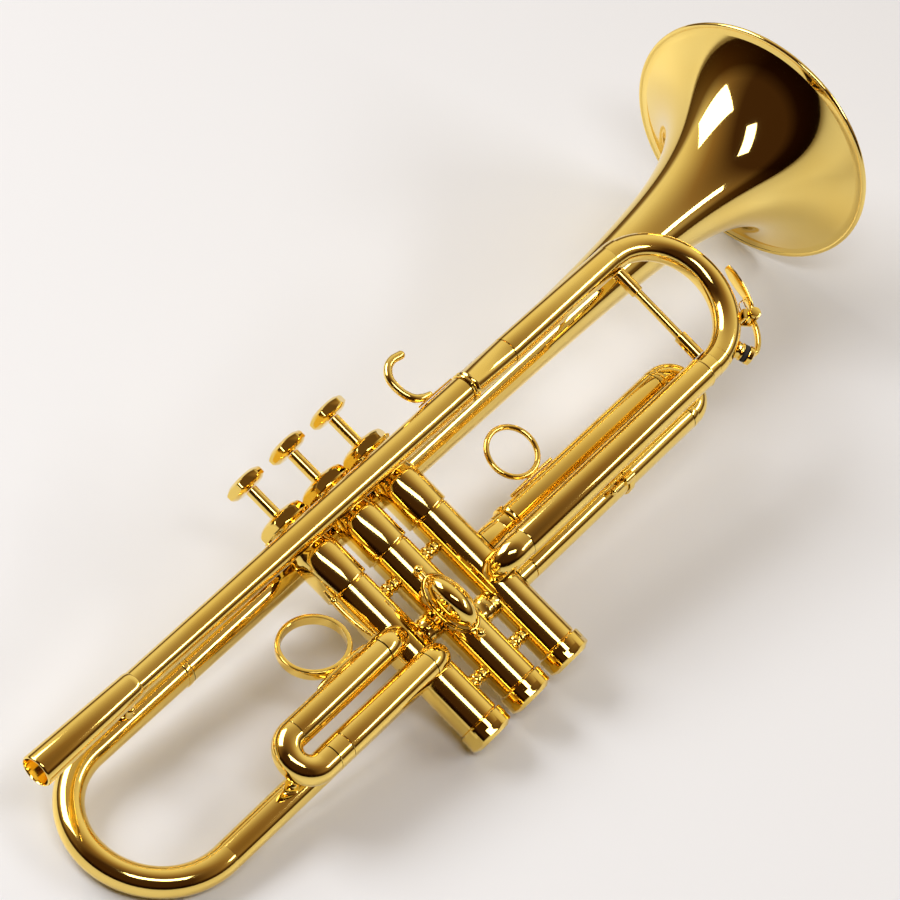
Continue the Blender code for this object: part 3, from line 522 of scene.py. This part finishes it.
def build_casing_rod(piece):
    bm = bmesh.new()
    path = spline([(-36.5, -4, 8.2), (-36.7, -4, 3.5), (-36.9, -4, -3), (-36.6, -4, -9), (-35.8, -4, -14.5),
                   (-35.3, -4, -16.5)])
    sweep(bm, path, fade([0.65, 1.15, 1.25, 1.3, 0.9, 0.65]), 20, rounded=True)
    add_ball(bm, (-36.7, -4, 3.5), (1.6, 1.6, 1.6))
    piece("casing_rod", bm)


# ----------------------------------------------------- leadpipe and tuning slide

def build_leadpipe(piece):
    bm = bmesh.new()
    outline = [(-185.0, 6.45), (-184.7, 6.75), (-184.2, 6.88), (-134.0, 5.84), (-132.3, 5.8), (-131.7, 5.5),
               (-131.7, 5.42), (-184.2, 5.80), (-185.0, 6.1)]
    lathe(bm, outline, (0, LEAD_Y, LEAD_Z), X, 72, closed=True)
    piece("mouthpiece_receiver", bm)

    bm = bmesh.new()
    outline = [(-150, 5.1), (-132.7, 5.3), (67.7, 6.13), (68.0, 5.9), (68.0, 5.75), (150, 5.75), (150, 5.3),
               (68.0, 5.3), (-150, 4.6)]
    lathe(bm, outline, (0, LEAD_Y, LEAD_Z), X, 64, closed=True)
    piece("leadpipe", bm)

    bm = bmesh.new()
    outline = [(68.4, 5.86), (68.4, 6.2), (68.7, 6.65), (69.3, 6.85), (69.9, 6.65), (70.2, 6.4), (70.5, 6.65),
               (71.1, 6.85), (71.7, 6.65), (72.1, SLEEVE_R), (95.8, SLEEVE_R), (96.1, 6.2), (96.1, 5.86)]
    lathe(bm, outline, (0, LEAD_Y, LEAD_Z), X, 64, closed=True)
    piece("leadpipe_sleeve", bm)

    bm = bmesh.new()
    curl = ((58.5, 57.6), (54.0, 58.3), (49.8, 57.0), (46.7, 53.5), (45.9, 49.0), (46.5, 44.4), (48.4, 40.8),
            (51.6, 38.7), (55.5, 37.9))
    path = spline([(x, LEAD_Y, z) for x, z in curl])
    sweep(bm, path, fade([1.85, 1.85, 1.85, 1.85, 1.85, 1.85, 1.85, 1.7, 1.0]), 28, rounded=True)
    plate = spline([(47.4, LEAD_Y, 36.75), (52, LEAD_Y, 36.8), (57.5, LEAD_Y, 36.8), (63, LEAD_Y, 36.75),
                    (67.6, LEAD_Y, 36.7)])
    widths = [(w, 0.42) for w in fade([0.6, 1.5, 1.8, 1.3, 0.5])]
    sweep(bm, plate, widths, 24, rounded=True, across=(0, 1, 0))
    piece("pinky_hook", bm)


def bow_point(angle, radius, side=0.0):
    """A point in the tuning bow's plane: degrees below straight ahead, distance from its centre."""
    centre = Vector((TUNING_X + GAP + 0.8, (LEAD_Y + LOWER_Y) / 2, (LEAD_Z + LOWER_Z) / 2))
    down = Vector((0, LOWER_Y - LEAD_Y, LOWER_Z - LEAD_Z)).normalized()
    across = Vector(X).cross(down)
    a = radians(angle)
    return centre + (Vector(X) * cos(a) + down * sin(a)) * radius + across * side


def build_tuning_slide(piece):
    bm = bmesh.new()
    tube(bm, (TUNING_START, TUNING_X), SLEEVE_R, 5.83, LEAD_Y, LEAD_Z, edge=0.06)
    piece("tuning_upper_tube", bm)
    bm = bmesh.new()
    tube(bm, (100.0, TUNING_X), LOWER_TUBE_R, 5.55, LOWER_Y, LOWER_Z, edge=0.06)
    piece("tuning_lower_tube", bm)

    bm = bmesh.new()
    half = hypot(LEAD_Z - LOWER_Z, LEAD_Y - LOWER_Y) / 2
    # Every third degree, with the end of the thicker sleeve at -80.9 and a fine joint line at 81.
    angles = sorted([*range(-90, 91, 3), -80.9, 80.8, 81.2])
    path = [bow_point(a, half) for a in angles]
    sizes = [SLEEVE_R if a < -80.95 else TUNING_R - 0.14 if a == 81 else TUNING_R for a in angles]
    back = Vector((1.05, 0, 0))
    path = [path[0] - back] + path + [path[-1] - back]
    sweep(bm, path, sizes[:1] + sizes + sizes[-1:], 64)
    piece("tuning_bow", bm)

    bm = bmesh.new()
    top = Vector((BRACE_X, LEAD_Y, LEAD_Z - SLEEVE_R - GAP))
    foot = Vector((BRACE_X, LOWER_Y, LOWER_Z + LOWER_TUBE_R + GAP))
    way = (top - foot).normalized()
    length = (top - foot).length
    sleeve = [(0.3, 0.0), (0.3, 2.9), (11.3, 2.9), (11.6, 2.6), (11.8, 2.0)]
    outline = sleeve + [(length - at, r) for at, r in reversed(sleeve)]
    lathe(bm, outline, foot, way, 36)
    add_diamond(bm, foot + Vector((0, 0, 0.4)), (0, 0, 1), 4.2, 0.8)
    add_diamond(bm, top - Vector((0, 0, 0.4)), (0, 0, -1), 4.2, 0.8)
    add_diamond(bm, foot + Vector((0, 0, 1.3)), (0, 0, 1), 3.5, 1.3, 0.9)
    add_diamond(bm, top - Vector((0, 0, 1.3)), (0, 0, -1), 3.5, 1.3, 0.9)
    piece("tuning_brace", bm)


def build_lower_leg(piece):
    bm = bmesh.new()
    outline = [(37.6, 6.15), (37.6, 6.4), (37.9, 6.57), (160.5, 6.57), (160.7, 6.76), (161.0, 6.82),
               (161.3, 6.76), (161.5, 6.5), (161.5, 6.15)]
    lathe(bm, outline, (0, LOWER_Y, LOWER_Z), X, 64, closed=True)
    piece("lower_slide_sleeve", bm)

    path = rounded_path([(PITCH, -4, LOWER_Z), (PITCH, LOWER_Y, LOWER_Z), (37.3, LOWER_Y, LOWER_Z)], 8.0)
    bm = bmesh.new()
    sweep(bm, path, 6.45, 64)
    ferrule = [(34.4, 6.4), (34.6, 6.62), (37.1, 6.62), (37.3, 6.4), (37.3, 5.9), (34.4, 5.9)]
    lathe(bm, ferrule, (0, LOWER_Y, LOWER_Z), X, 64, closed=True)
    bm = carve(bm, casing_cutter(PITCH, LOWER_Z))
    piece("lower_slide_elbow", bm)


# -------------------------------------------------------------------- water key

def build_water_key(piece):
    out = (bow_point(66, 1) - bow_point(66, 0)).normalized()
    centre = bow_point(66, 0)
    across = (bow_point(0, 0, 1) - bow_point(0, 0)).normalized()
    bm = bmesh.new()
    outline = soften([(36.2, 3.9), (37.4, 3.6), (38.2, 3.5), (38.5, 4.0), (39.2, 4.0), (39.2, 1.2),
                      (36.2, 1.2)], 0.3, True)
    lathe(bm, outline, centre, out, 36, closed=True)
    piece("water_nipple", bm)

    pivot = bow_point(41, 42.2)
    radial = (bow_point(41, 1) - bow_point(41, 0)).normalized()
    along = across.cross(radial)
    frame = Matrix((along, across, radial)).transposed().to_4x4()
    bm = bmesh.new()
    add_box(bm, bow_point(41, 40.7), (4.6, 8.0, 6.8), frame)
    slot = bmesh.new()
    add_box(slot, bow_point(41, 42.1), (6.0, 5.2, 6.8), frame)
    bm = carve(bm, slot)
    bm = carve(bm, prism(pivot, 0.86, 20.0, 24, 0.0, across))
    bevel_sharp(bm, 0.25)
    piece("water_key_saddle", bm)

    bm = bmesh.new()
    outline = [(3.9, 0.0), (3.9, 0.6), (3.7, 0.8), (-4.3, 0.8), (-4.3, 2.3), (-4.5, 2.5), (-5.7, 2.5),
               (-6.0, 2.35), (-6.1, 2.1), (-6.1, 0.0)]
    lathe(bm, outline, pivot, across, 40)
    piece("water_key_screw", bm)

    bm = bmesh.new()
    lathe(bm, soften([(41.3, 0.0), (41.3, 3.8), (39.5, 3.8), (39.5, 0.0)], 0.3), centre, out, 36)
    piece("water_key_cork", bm)

    bm = bmesh.new()
    barrel = soften([(-2.4, 1.6), (2.4, 1.6), (2.4, 0.86), (-2.4, 0.86)], 0.2, True)
    lathe(bm, barrel, pivot, across, 36, closed=True)
    arm = spline([bow_point(65, 43.6), bow_point(62, 45.3), bow_point(56, 45.6), bow_point(49, 44.8),
                  bow_point(42, 43.4)])
    sweep(bm, arm, [(w, 1.25) for w in fade([2.6, 2.3, 2.0, 1.9, 1.8])], 24, rounded=True, across=across)
    blade = spline([bow_point(40, 43.3), bow_point(34, 44.0), bow_point(27, 43.4), bow_point(20, 42.6),
                    bow_point(13, 42.3), bow_point(7.6, 42.6)])
    shape = list(zip(fade([1.8, 1.9, 2.8, 3.5, 3.5, 2.4]), fade([1.1, 1.1, 1.0, 0.95, 0.85, 0.8])))
    sweep(bm, blade, shape, 28, rounded=True, across=across)
    cup = [(44.5, 0.0), (44.4, 2.2), (44.1, 3.3), (43.5, 4.1), (41.8, 4.2), (41.6, 4.0), (41.6, 0.0)]
    lathe(bm, cup, centre, out, 40)
    for side in (-2.1, 2.1):
        spring = spline([bow_point(39.5, 41.6, side), bow_point(34, 40.0, side), bow_point(30, 40.2, side),
                         bow_point(28, 42.9, side * 0.5)])
        sweep(bm, spring, 0.3, 12, rounded=True)
    piece("water_key_lever", bm)


# ----------------------------------------------------------------- valve slides

def build_third_slide(piece):
    upper, lower = THIRD_Z
    tip = 128.0
    collar = [(28, 6.05), (43.6, 6.05), (43.9, 5.9), (44.2, 6.05), (48.3, 6.05), (48.6, 6.7), (49.1, 7.1),
              (49.6, 6.8), (50.1, 6.7), (50.6, 6.9), (51.1, 7.25), (51.6, 6.8), (51.6, 5.7)]
    plain = [(28, THIRD_R), (40.7, THIRD_R), (41.0, 6.0), (41.0, 5.7)]
    for name, outer, z in (("upper", collar, upper), ("lower", plain, lower)):
        bm = bmesh.new()
        lathe(bm, outer + [(tip, 5.7), (tip, 5.2), (28, 5.2)], (0, 0, z), X, 64, closed=True)
        bm = carve(bm, casing_cutter(PITCH, z))
        piece(f"third_inner_tube_{name}", bm)
    for name, start, z in (("upper", 51.9, upper), ("lower", 41.3, lower)):
        bm = bmesh.new()
        tube(bm, (start, 150.0), THIRD_R, 5.77, 0, z)
        piece(f"third_outer_tube_{name}", bm)

    bm = bmesh.new()
    half = (upper - lower) / 2
    bend = arc((153.6, 0, (upper + lower) / 2), (0, 0, half), (half, 0, 0), pi, 40)
    sweep(bm, [(150.3, 0, upper), *bend, (150.3, 0, lower)], THIRD_R - 0.1, 56)
    for z in (upper, lower):
        ferrule = [(150.3, 6.1), (150.3, 6.25), (150.5, THIRD_R), (153.2, THIRD_R), (153.5, 6.15),
                   (153.5, 6.0), (150.3, 6.0)]
        lathe(bm, ferrule, (0, 0, z), X, 56, closed=True)
    piece("third_bow", bm)

    bm = bmesh.new()
    turns = [2 * pi * i / 72 for i in range(72)]
    ring = [(75.8 + 11.35 * cos(a), 0, -0.7 + 11.35 * sin(a)) for a in turns]
    sweep(bm, ring, [(1.25, 1.25)] * len(ring), 20, across=(0, 1, 0), cyclic=True)
    rail = spline([(60.5, 0, -13.7), (66, 0, -13.6), (71.5, 0, -13.5), (80, 0, -13.5), (86.8, 0, -13.6)])
    sweep(bm, rail, [(w, 0.7) for w in fade([0.8, 1.1, 1.2, 1.1, 0.8])], 20, rounded=True, across=(0, 1, 0))
    piece("third_finger_ring", bm)

    bm = bmesh.new()
    band = soften([(103.0, 7.2), (106.0, 7.2), (106.0, 6.6), (103.0, 6.6)], 0.2, True)
    lathe(bm, band, (0, 0, lower), X, 56, closed=True)
    screw = [(104.6, 0), (104.6, 1.9), (104.3, 2.2), (99.1, 2.2), (98.8, 1.9), (98.8, 1.0), (93.0, 1.0),
             (92.6, 1.45), (91.9, 1.65), (91.2, 1.6), (90.7, 1.1), (90.4, 0.5), (90.4, 0.0)]
    lathe(bm, screw, (0, -8.6, lower - 2.6), X, 32)
    piece("third_slide_stop", bm)


def build_first_slide(piece):
    upper, lower = FIRST_Z
    x = -PITCH
    bm = bmesh.new()
    path = rounded_path([(x - 4.0, -4.5, upper), (-38.2, FIRST_Y, upper), (-43.4, FIRST_Y, upper)], 9.0)
    sweep(bm, path, FIRST_R, 56)
    piece("first_knuckle_upper", carve(bm, casing_cutter(x, upper)))
    bm = bmesh.new()
    path = rounded_path([(x, -4, lower), (x, FIRST_Y, lower), (-33.0, FIRST_Y, lower)], 7.0)
    sweep(bm, path, FIRST_R, 56)
    piece("first_elbow_lower", carve(bm, casing_cutter(x, lower)))
    bm = bmesh.new()
    tube(bm, (-84.4, -33.3), FIRST_R, FIRST_BORE, FIRST_Y, lower)
    piece("first_sleeve_lower", bm)
    bm = bmesh.new()
    tube(bm, FIRST_INNER_X, FIRST_INNER_R, 5.05, FIRST_Y, upper)
    piece("first_inner_tube_upper", bm)

    bm = bmesh.new()
    tube(bm, (-96.0, -44.0), FIRST_R, FIRST_BORE, FIRST_Y, upper)
    piece("first_tube_upper", bm)
    bm = bmesh.new()
    outline = [(-92.0, 5.05), (-92.0, 6.1), (-91.8, 6.3), (-84.9, 6.3), (-84.7, 6.1), (-84.7, FIRST_INNER_R),
               (-42.0, FIRST_INNER_R), (-42.0, 5.05)]
    lathe(bm, outline, (0, FIRST_Y, lower), X, 56, closed=True)
    piece("first_leg_lower", bm)

    bm = bmesh.new()
    half = (upper - lower) / 2
    bend = arc((-97.0, FIRST_Y, (upper + lower) / 2), (0, 0, half), (-half, 0, 0), pi, 40)
    sweep(bm, [(-96.3, FIRST_Y, upper), *bend, (-92.3, FIRST_Y, lower)], 6.2, 56)
    piece("first_bow", bm)

    bm = bmesh.new()
    band = soften([(-2.4, 14.8), (-1.2, 15.2), (1.2, 15.2), (2.4, 14.8), (2.4, 13.0), (-2.4, 13.0)],
                  0.4, True)
    lathe(bm, band, (-59.0, -6.8, -4.6), (0, 0.92, -0.4), 80, closed=True)
    foot = bmesh.new()
    add_ball(foot, (-60.0, -13.1, -18.3), (15.0, 2.6, 2.0), fine=40)
    bm = carve(bm, foot, "UNION")
    bm = carve(bm, prism((-62.0, FIRST_Y, upper), FIRST_R + 0.1, 60.0, 72, 0.0, X))
    piece("first_thumb_ring", bm)


def build_second_slide(piece):
    turn = radians(SECOND_TURN)
    way = Vector((-sin(turn), -cos(turn), 0.0))
    across = Vector((0, 0, 1)).cross(way)
    for name, dz in (("upper", SECOND_HALF), ("lower", -SECOND_HALF)):
        bm = bmesh.new()
        outline = [(5.0, 5.47), (5.0, 6.3), (14.6, 6.3), (14.8, 6.1), (15.0, 6.3), (15.5, 6.3), (15.7, 6.1),
                   (15.7, 5.47)]
        lathe(bm, outline, (0, 0, SECOND_Z + dz), way, 56, closed=True)
        bm = carve(bm, casing_cutter(0, SECOND_Z + dz))
        piece(f"second_sleeve_{name}", bm)

    bm = bmesh.new()
    middle = Vector((0, 0, SECOND_Z - 0.8))
    rings = []
    for reach, share in ((16.05, 0.95), (16.1, 1.0), (17.7, 1.0), (17.95, 0.985), (18.1, 0.95)):
        rings.append(oval(middle + way * reach, across, 7.6 * share, 14.8 * share))
    for reach, inset in ((18.4, 0.0), (18.55, 0.1), (18.5, 0.25), (18.3, 0.35)):
        rings.append(oval(middle + way * reach, across, 7.05 - inset, 14.25 - inset))
    for k in range(20):
        a = pi / 2 * k / 20
        rings.append(oval(middle + way * (18.3 + 12.1 * sin(a)), across, 6.65 * cos(a), 13.8 * cos(a)))
    rings.append(oval(middle + way * 30.4, across, 0.02, 0.04))
    skin(bm, rings)
    for sign in (1, -1):
        leg = soften([(10.6, 5.4), (16.5, 5.4), (16.5, 4.9), (10.6, 4.9)], 0.2, True)
        lathe(bm, leg, (0, 0, SECOND_Z + sign * SECOND_HALF), way, 48, closed=True)
        at = way * 17.2
        knob = [(19.45, 0.0), (19.3, 0.7), (18.9, 1.35), (18.3, 1.85), (17.4, 2.1), (16.5, 1.85),
                (15.9, 1.35), (15.5, 1.0), (11.8, 1.0), (11.8, 0.0)]
        lathe(bm, knob, (at.x, at.y, SECOND_Z), (0, 0, sign), 28)
    piece("second_crook", bm)


def oval(centre, across, half_width, half_height):
    turns = [2 * pi * i / 64 for i in range(64)]
    return [centre + across * (cos(a) * half_width) + Vector((0, 0, sin(a) * half_height)) for a in turns]


# ------------------------------------------------------------ bell and bell bow

def bell_radius(x):
    """Outer radius: a slow cone along the whole bell, plus a flare that grows towards the rim."""
    cone = BELL_THROAT_R + BELL_TAPER * (x - BOW_X)
    end = BELL_THROAT_R + BELL_TAPER * (BELL_RIM_X - BOW_X)
    return cone + (BELL_R - end) * (FLARE_REACH / (BELL_RIM_X - x + FLARE_REACH)) ** FLARE_POWER


def bell_axis_z(x):
    """Height of the bell's slightly tilted axis."""
    return BOW_TOP_Z + (BELL_RIM_Z - BOW_TOP_Z) * (x - BOW_X) / (BELL_RIM_X - BOW_X)


def build_bell(piece):
    tail = BELL_TAIL_X
    edge = BELL_RIM_X - 2.4
    steps = 90
    outer = []
    inner = []
    for i in range(steps + 1):
        x = tail + (edge - tail) * (1 - (1 - i / steps) ** 2.0)
        slope = (bell_radius(x + 0.05) - bell_radius(x - 0.05)) / 0.1
        lean = hypot(1, slope)
        outer.append((x - BOW_X, bell_radius(x)))
        shift = BELL_WALL * slope / lean if i else 0.0
        inner.append((x - BOW_X + shift, bell_radius(x) - BELL_WALL / lean))
    bead_x = BELL_RIM_X - BEAD_R - BOW_X - 0.05
    bead_y = BELL_R - BEAD_R - 0.05
    bead = [(bead_x + BEAD_R * cos(radians(a)), bead_y + BEAD_R * sin(radians(a)))
            for a in range(225, -46, -18)]
    bm = bmesh.new()
    axis = (BELL_RIM_X - BOW_X, 0, BELL_RIM_Z - BOW_TOP_Z)
    lathe(bm, outer + bead + inner[::-1], (BOW_X, BELL_Y, BOW_TOP_Z), axis, 160, closed=True)
    piece("bell", bm)

    bm = bmesh.new()
    r = bell_radius(tail)
    outline = soften([(tail - 3.0, r), (tail - 2.6, r + 0.2), (tail - 0.7, r + 0.2), (tail - 0.15, r),
                      (tail - 0.15, 6.6), (tail - 3.0, 6.6)], 0.15, True)
    lathe(bm, outline, (0, BELL_Y, bell_axis_z(tail - 1.6)), X, 56, closed=True)
    piece("bell_joint_ring", bm)


def build_bell_bow(piece):
    top = Vector((BOW_X, BELL_Y, BOW_TOP_Z))
    foot = Vector((BOW_X, BOW_FOOT_Y, BOW_FOOT_Z))
    half = (top - foot) / 2
    bend = arc((top + foot) / 2, half, (-half.length, 0, 0), pi, 60)
    tail = BELL_TAIL_X - 3.1
    start = Vector((tail, BELL_Y, bell_axis_z(tail)))
    lead_in = [start.lerp(top, i / 12) for i in range(12)]
    path = lead_in + bend + [foot + Vector((1.05, 0, 0))]
    thin = BOW_R - 0.1
    sizes = [thin * (1.17 - 0.095 * i / 12) for i in range(12)]
    sizes += [thin * (1.0 + 0.075 * max(0.0, 1 - i / 15)) for i in range(61)] + [thin]
    bm = bmesh.new()
    sweep(bm, path, sizes, 64)
    piece("bell_bow", bm)

    bm = bmesh.new()
    tube(bm, (BOW_X + 1.1, -28.0), (BOW_R - 0.1, 6.67), 5.7, BOW_FOOT_Y, BOW_FOOT_Z, edge=0.05)
    bm = carve(bm, casing_cutter(-PITCH, BOW_FOOT_Z))
    piece("bell_bow_leg", bm)

    bm = bmesh.new()
    lead = Vector((BELL_BRACE_X, LEAD_Y, LEAD_Z))
    bell = Vector((BELL_BRACE_X, BELL_Y, bell_axis_z(BELL_BRACE_X)))
    way = (bell - lead).normalized()
    low = 5.65
    high = (bell - lead).length - 7.5
    sleeve = [(0.3, 0.0), (0.3, 2.8), (0.9, 2.6), (4.4, 2.5), (4.7, 2.3), (5.0, 1.7)]
    outline = [(low + at, r) for at, r in sleeve] + [(high - at, r) for at, r in reversed(sleeve)]
    lathe(bm, outline, lead, way, 36)
    add_diamond(bm, lead + way * (low + 0.4), way, 4.4, 0.8)
    add_diamond(bm, lead + way * (high - 0.4), -way, 4.4, 0.8)
    piece("bell_brace", bm)

    bm = bmesh.new()
    at = Vector((-107.5, BOW_FOOT_Y - 6.45 - GAP - 0.4, BOW_FOOT_Z + 2.0))
    add_diamond(bm, at, (0, -1, 0), 5.2, 0.8)
    lathe(bm, [(3.3, 0), (3.2, 0.5), (2.9, 1.0), (2.3, 1.4), (0, 1.4), (0, 0)], at, (0, -1, 0), 32)
    piece("bow_post", bm)


# ---------------------------------------------------------------------- studio

def area_light(name, at, size, power):
    """Rectangular light that faces the origin."""
    light = bpy.data.lights.new(name, "AREA")
    light.shape = "RECTANGLE"
    light.size, light.size_y = size
    light.energy = power
    obj = bpy.data.objects.new(name, light)
    obj.location = at
    obj.rotation_euler = (-Vector(at)).to_track_quat("-Z", "Y").to_euler()
    bpy.context.scene.collection.objects.link(obj)


def build_floor():
    bm = bmesh.new()
    bmesh.ops.create_grid(bm, x_segments=1, y_segments=1, size=6.0)
    mesh = bpy.data.meshes.new("floor")
    bm.to_mesh(mesh)
    bm.free()
    floor = bpy.data.objects.new("floor", mesh)
    floor.location.z = -0.0003
    bpy.context.scene.collection.objects.link(floor)
    mat = bpy.data.materials.new("pale_table")
    mat.use_nodes = True
    shader = mat.node_tree.nodes["Principled BSDF"]
    shader.inputs["Base Color"].default_value = (0.82, 0.84, 0.89, 1.0)
    shader.inputs["Roughness"].default_value = 0.35
    mesh.materials.append(mat)


def set_ramp(ramp, tones):
    """Put the tones on a colour ramp, which starts with two stops."""
    for i, (at, tone) in enumerate(tones):
        stop = ramp.color_ramp.elements[i] if i < 2 else ramp.color_ramp.elements.new(at)
        stop.position = at
        stop.color = (*tone, 1.0)


def build_world():
    """Warm surroundings, pale at one side and dark at the other, darker near the ground."""
    world = bpy.data.worlds.new("studio")
    bpy.context.scene.world = world
    world.use_nodes = True
    nodes = world.node_tree.nodes
    links = world.node_tree.links
    where = nodes.new("ShaderNodeTexCoord")
    turned = nodes.new("ShaderNodeVectorMath")
    turned.operation = "DOT_PRODUCT"
    turned.inputs[1].default_value = Vector((-0.80, -0.40, 0.45)).normalized()
    links.new(where.outputs["Generated"], turned.inputs[0])
    share = nodes.new("ShaderNodeMapRange")
    share.inputs["From Min"].default_value = -1.0
    links.new(turned.outputs["Value"], share.inputs["Value"])
    room = nodes.new("ShaderNodeValToRGB")
    tones = ((0.0, (1.0, 0.95, 0.85)), (0.36, (0.80, 0.72, 0.57)), (0.53, (0.52, 0.42, 0.28)),
             (0.68, (0.26, 0.16, 0.08)), (0.86, (0.050, 0.022, 0.010)))
    set_ramp(room, tones)
    links.new(share.outputs["Result"], room.inputs["Fac"])
    height = nodes.new("ShaderNodeSeparateXYZ")
    links.new(where.outputs["Generated"], height.inputs["Vector"])
    wall = nodes.new("ShaderNodeValToRGB")
    set_ramp(wall, ((0.0, (0.10, 0.06, 0.03)), (0.22, (0.22, 0.15, 0.09)), (0.38, (1.0, 1.0, 1.0))))
    links.new(height.outputs["Z"], wall.inputs["Fac"])
    both = nodes.new("ShaderNodeMix")
    both.data_type = "RGBA"
    both.blend_type = "MULTIPLY"
    both.inputs["Factor"].default_value = 1.0
    links.new(room.outputs["Color"], both.inputs[6])
    links.new(wall.outputs["Color"], both.inputs[7])
    links.new(both.outputs[2], nodes["Background"].inputs["Color"])
    bpy.context.scene.view_settings.view_transform = "Standard"


def build_camera(horn):
    at = horn @ Vector(CAMERA_AT)
    turn = horn.to_3x3()
    back = -(turn @ Vector(CAMERA_AHEAD)).normalized()
    up = (turn @ Vector(CAMERA_UP)).normalized()
    right = up.cross(back).normalized()
    up = back.cross(right)
    data = bpy.data.cameras.new("camera")
    data.sensor_width = 36.0
    data.lens = CAMERA_LENS
    data.shift_x, data.shift_y = CAMERA_SHIFT
    data.clip_end = 50.0
    camera = bpy.data.objects.new("camera", data)
    camera.matrix_world = Matrix.Translation(at) @ Matrix((right, up, back)).transposed().to_4x4()
    bpy.context.scene.collection.objects.link(camera)
    bpy.context.scene.camera = camera


def main():
    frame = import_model()
    horn = horn_matrix(frame)
    body_of = {n: body for body, names in frame["record"]["behaviour"]["bodies"].items() for n in names}
    slot_of = {part["node"]: part["material_slot"] for part in frame["record"]["subparts"]}
    finishes = make_finishes()

    def piece(node, bm, part="fine", finish=None):
        """Make the mesh into a shown piece that stands for one CAD node."""
        obj = mesh_object(bm, f"{part}_{node}")
        obj.data.transform(horn)
        obj.data.shade_smooth()
        obj.data.set_sharp_from_angle(angle=radians(32))
        obj.data.materials.append(finishes[finish or slot_of[node]])
        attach(obj, body_of[node])
        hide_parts(node)

    build_casings(piece)
    build_caps(piece)
    build_valve_actions(piece)
    build_links(piece)
    build_casing_rod(piece)
    build_leadpipe(piece)
    build_tuning_slide(piece)
    build_lower_leg(piece)
    build_water_key(piece)
    build_third_slide(piece)
    build_first_slide(piece)
    build_second_slide(piece)
    build_bell(piece)
    build_bell_bow(piece)

    build_floor()
    build_world()
    build_camera(horn)
    area_light("softbox", (-0.5, 1.5, 1.4), (1.4, 1.0), 32)
    area_light("side_strip", (0.85, -1.15, 1.05), (1.1, 0.22), 7)
    area_light("top_strip", (-0.60, -0.52, 1.5), (0.9, 0.30), 7)


main()
